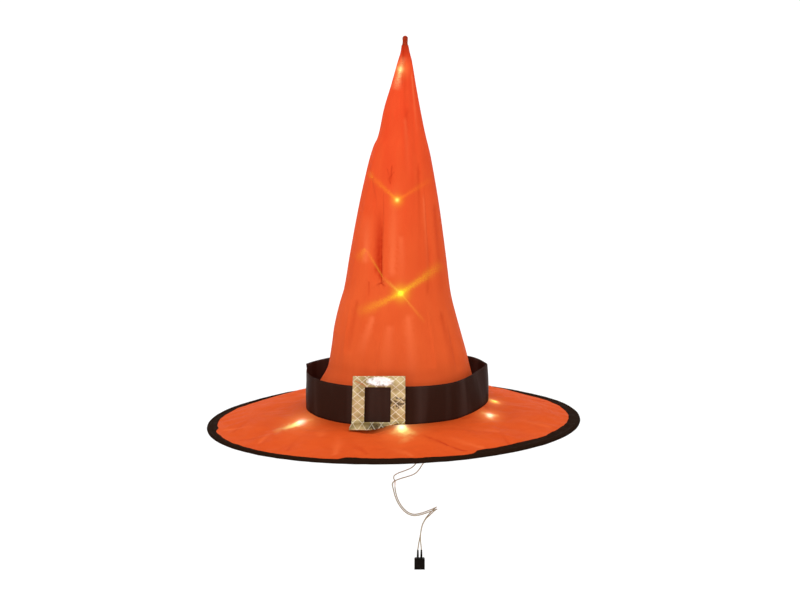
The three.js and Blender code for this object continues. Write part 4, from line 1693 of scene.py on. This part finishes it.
class HAT_OT_lights(PieceOperator):
    """Gives the light strings, LEDs, tape patches and joints their finish and detail"""

    bl_idname = "hat.lights"
    bl_label = "Lights"

    def build(self):
        resin = material("clear_resin", clear_resin)
        black = material("black_plastic", moulded_plastic, "black_plastic", colours().plastic, 0.4, 0.55)
        wire = material("clear_wire", clear_wire)
        for name in ("light_string_crown", "light_string_brim"):
            use_cad(name, wire)
        for name in ("string_joint_a", "string_joint_b"):
            use_cad(name, black)
        for name in sorted(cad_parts):
            if name.startswith("led_patch"):
                self.patch(name)
            elif name.startswith("led_"):
                self.bead(name, resin)

    def bead(self, name, look):
        """A drop of resin, fat in the middle and drawn out along the wire."""
        low, high = node_box(name)
        centre, span = (low + high) / 2, high - low
        turn = math.atan2(centre.y, centre.x)
        axis = Vector((0, 0, 1)) if "crown" in name else Vector((-math.sin(turn), math.cos(turn), 0))
        half = 2.5
        wide = min(span.x, span.y, span.z) / 2
        outline = [
            (0.35, -half), (0.75, -half + 0.4), (wide * 0.75, -half + 1), (wide * 0.97, -0.7), (wide, 0),
            (wide * 0.97, 0.7), (wide * 0.75, half - 1), (0.75, half - 0.4), (0.35, half),
        ]
        made = turned(f"lamp_{name[4:]}", outline, 20, centre, axis, look, "clear_resin", [name], 0.05)
        return refine(made)

    def patch(self, name):
        """A piece of cloth tape laid over the wire and stuck down on both sides of it."""
        low, high = node_box(name)
        centre = (low + high) / 2
        on_crown = "crown" in name
        inward = Vector((-centre.x, -centre.y, 0)).normalized()
        if on_crown:
            along, across, lift = inward.cross(Vector((0, 0, 1))), Vector((0, 0, 1)), inward
        else:
            along, across, lift = inward.cross(Vector((0, 0, 1))), inward, Vector((0, 0, -1))
        length, width, rows, columns = 16, 12, 17, 13
        stuck_down, brim_slope = 4.6, 0.16
        points = []
        for r in range(rows):
            for c in range(columns):
                u = length * (r / (rows - 1) - 0.5)
                v = width * (c / (columns - 1) - 0.5)
                u += 0.25 * ripple(v, 3 * (r > rows / 2), 0, 25)
                side = abs(v) / (width / 2) if not on_crown else abs(u) / (length / 2)
                settle = stuck_down * smooth_step(0.25, 0.95, side)
                wave = 0.25 * ripple(u / 3, v / 3, 0, 26)
                slope = 0 if on_crown else brim_slope * v
                at = centre + along * u + across * v + lift * (wave - settle)
                points.append(at + Vector((0, 0, slope)))
        look = material("white_patch", white_patch)
        faces = grid_faces(rows, columns, closed_columns=False)
        made = make_piece(f"tape_{name[4:]}", points, faces, look, "white_patch", [name])
        return thicken(made, 0.2 * MM, 0)


class HAT_PT_panel(bpy.types.Panel):
    """Lists the hat's pieces"""

    bl_idname = "HAT_PT_panel"
    bl_label = "Witch Hat"
    bl_space_type = "VIEW_3D"
    bl_region_type = "UI"
    bl_category = "Witch Hat"

    def draw(self, context):
        layout = self.layout
        for group in (context.scene.hat_sizes, context.scene.hat_colours):
            box = layout.box()
            for name in group.__annotations__:
                box.prop(group, name)
        for piece in PIECES:
            layout.operator(piece.bl_idname)


PIECES = (HAT_OT_stage, HAT_OT_lead, HAT_OT_crown, HAT_OT_brim, HAT_OT_band, HAT_OT_buckle, HAT_OT_lights)
CLASSES = (HatSizes, HatColours, *PIECES, HAT_PT_panel)


def register():
    for cls in CLASSES:
        bpy.utils.register_class(cls)
    bpy.types.Scene.hat_sizes = bpy.props.PointerProperty(type=HatSizes)
    bpy.types.Scene.hat_colours = bpy.props.PointerProperty(type=HatColours)


def unregister():
    del bpy.types.Scene.hat_colours
    del bpy.types.Scene.hat_sizes
    for cls in reversed(CLASSES):
        bpy.utils.unregister_class(cls)


def main():
    register()
    bpy.ops.hat.stage()
    bpy.ops.hat.lead()
    bpy.ops.hat.crown()
    bpy.ops.hat.brim()
    bpy.ops.hat.band()
    bpy.ops.hat.buckle()
    bpy.ops.hat.lights()
    bpy.context.view_layer.update()


if __name__ == "__main__":
    main()
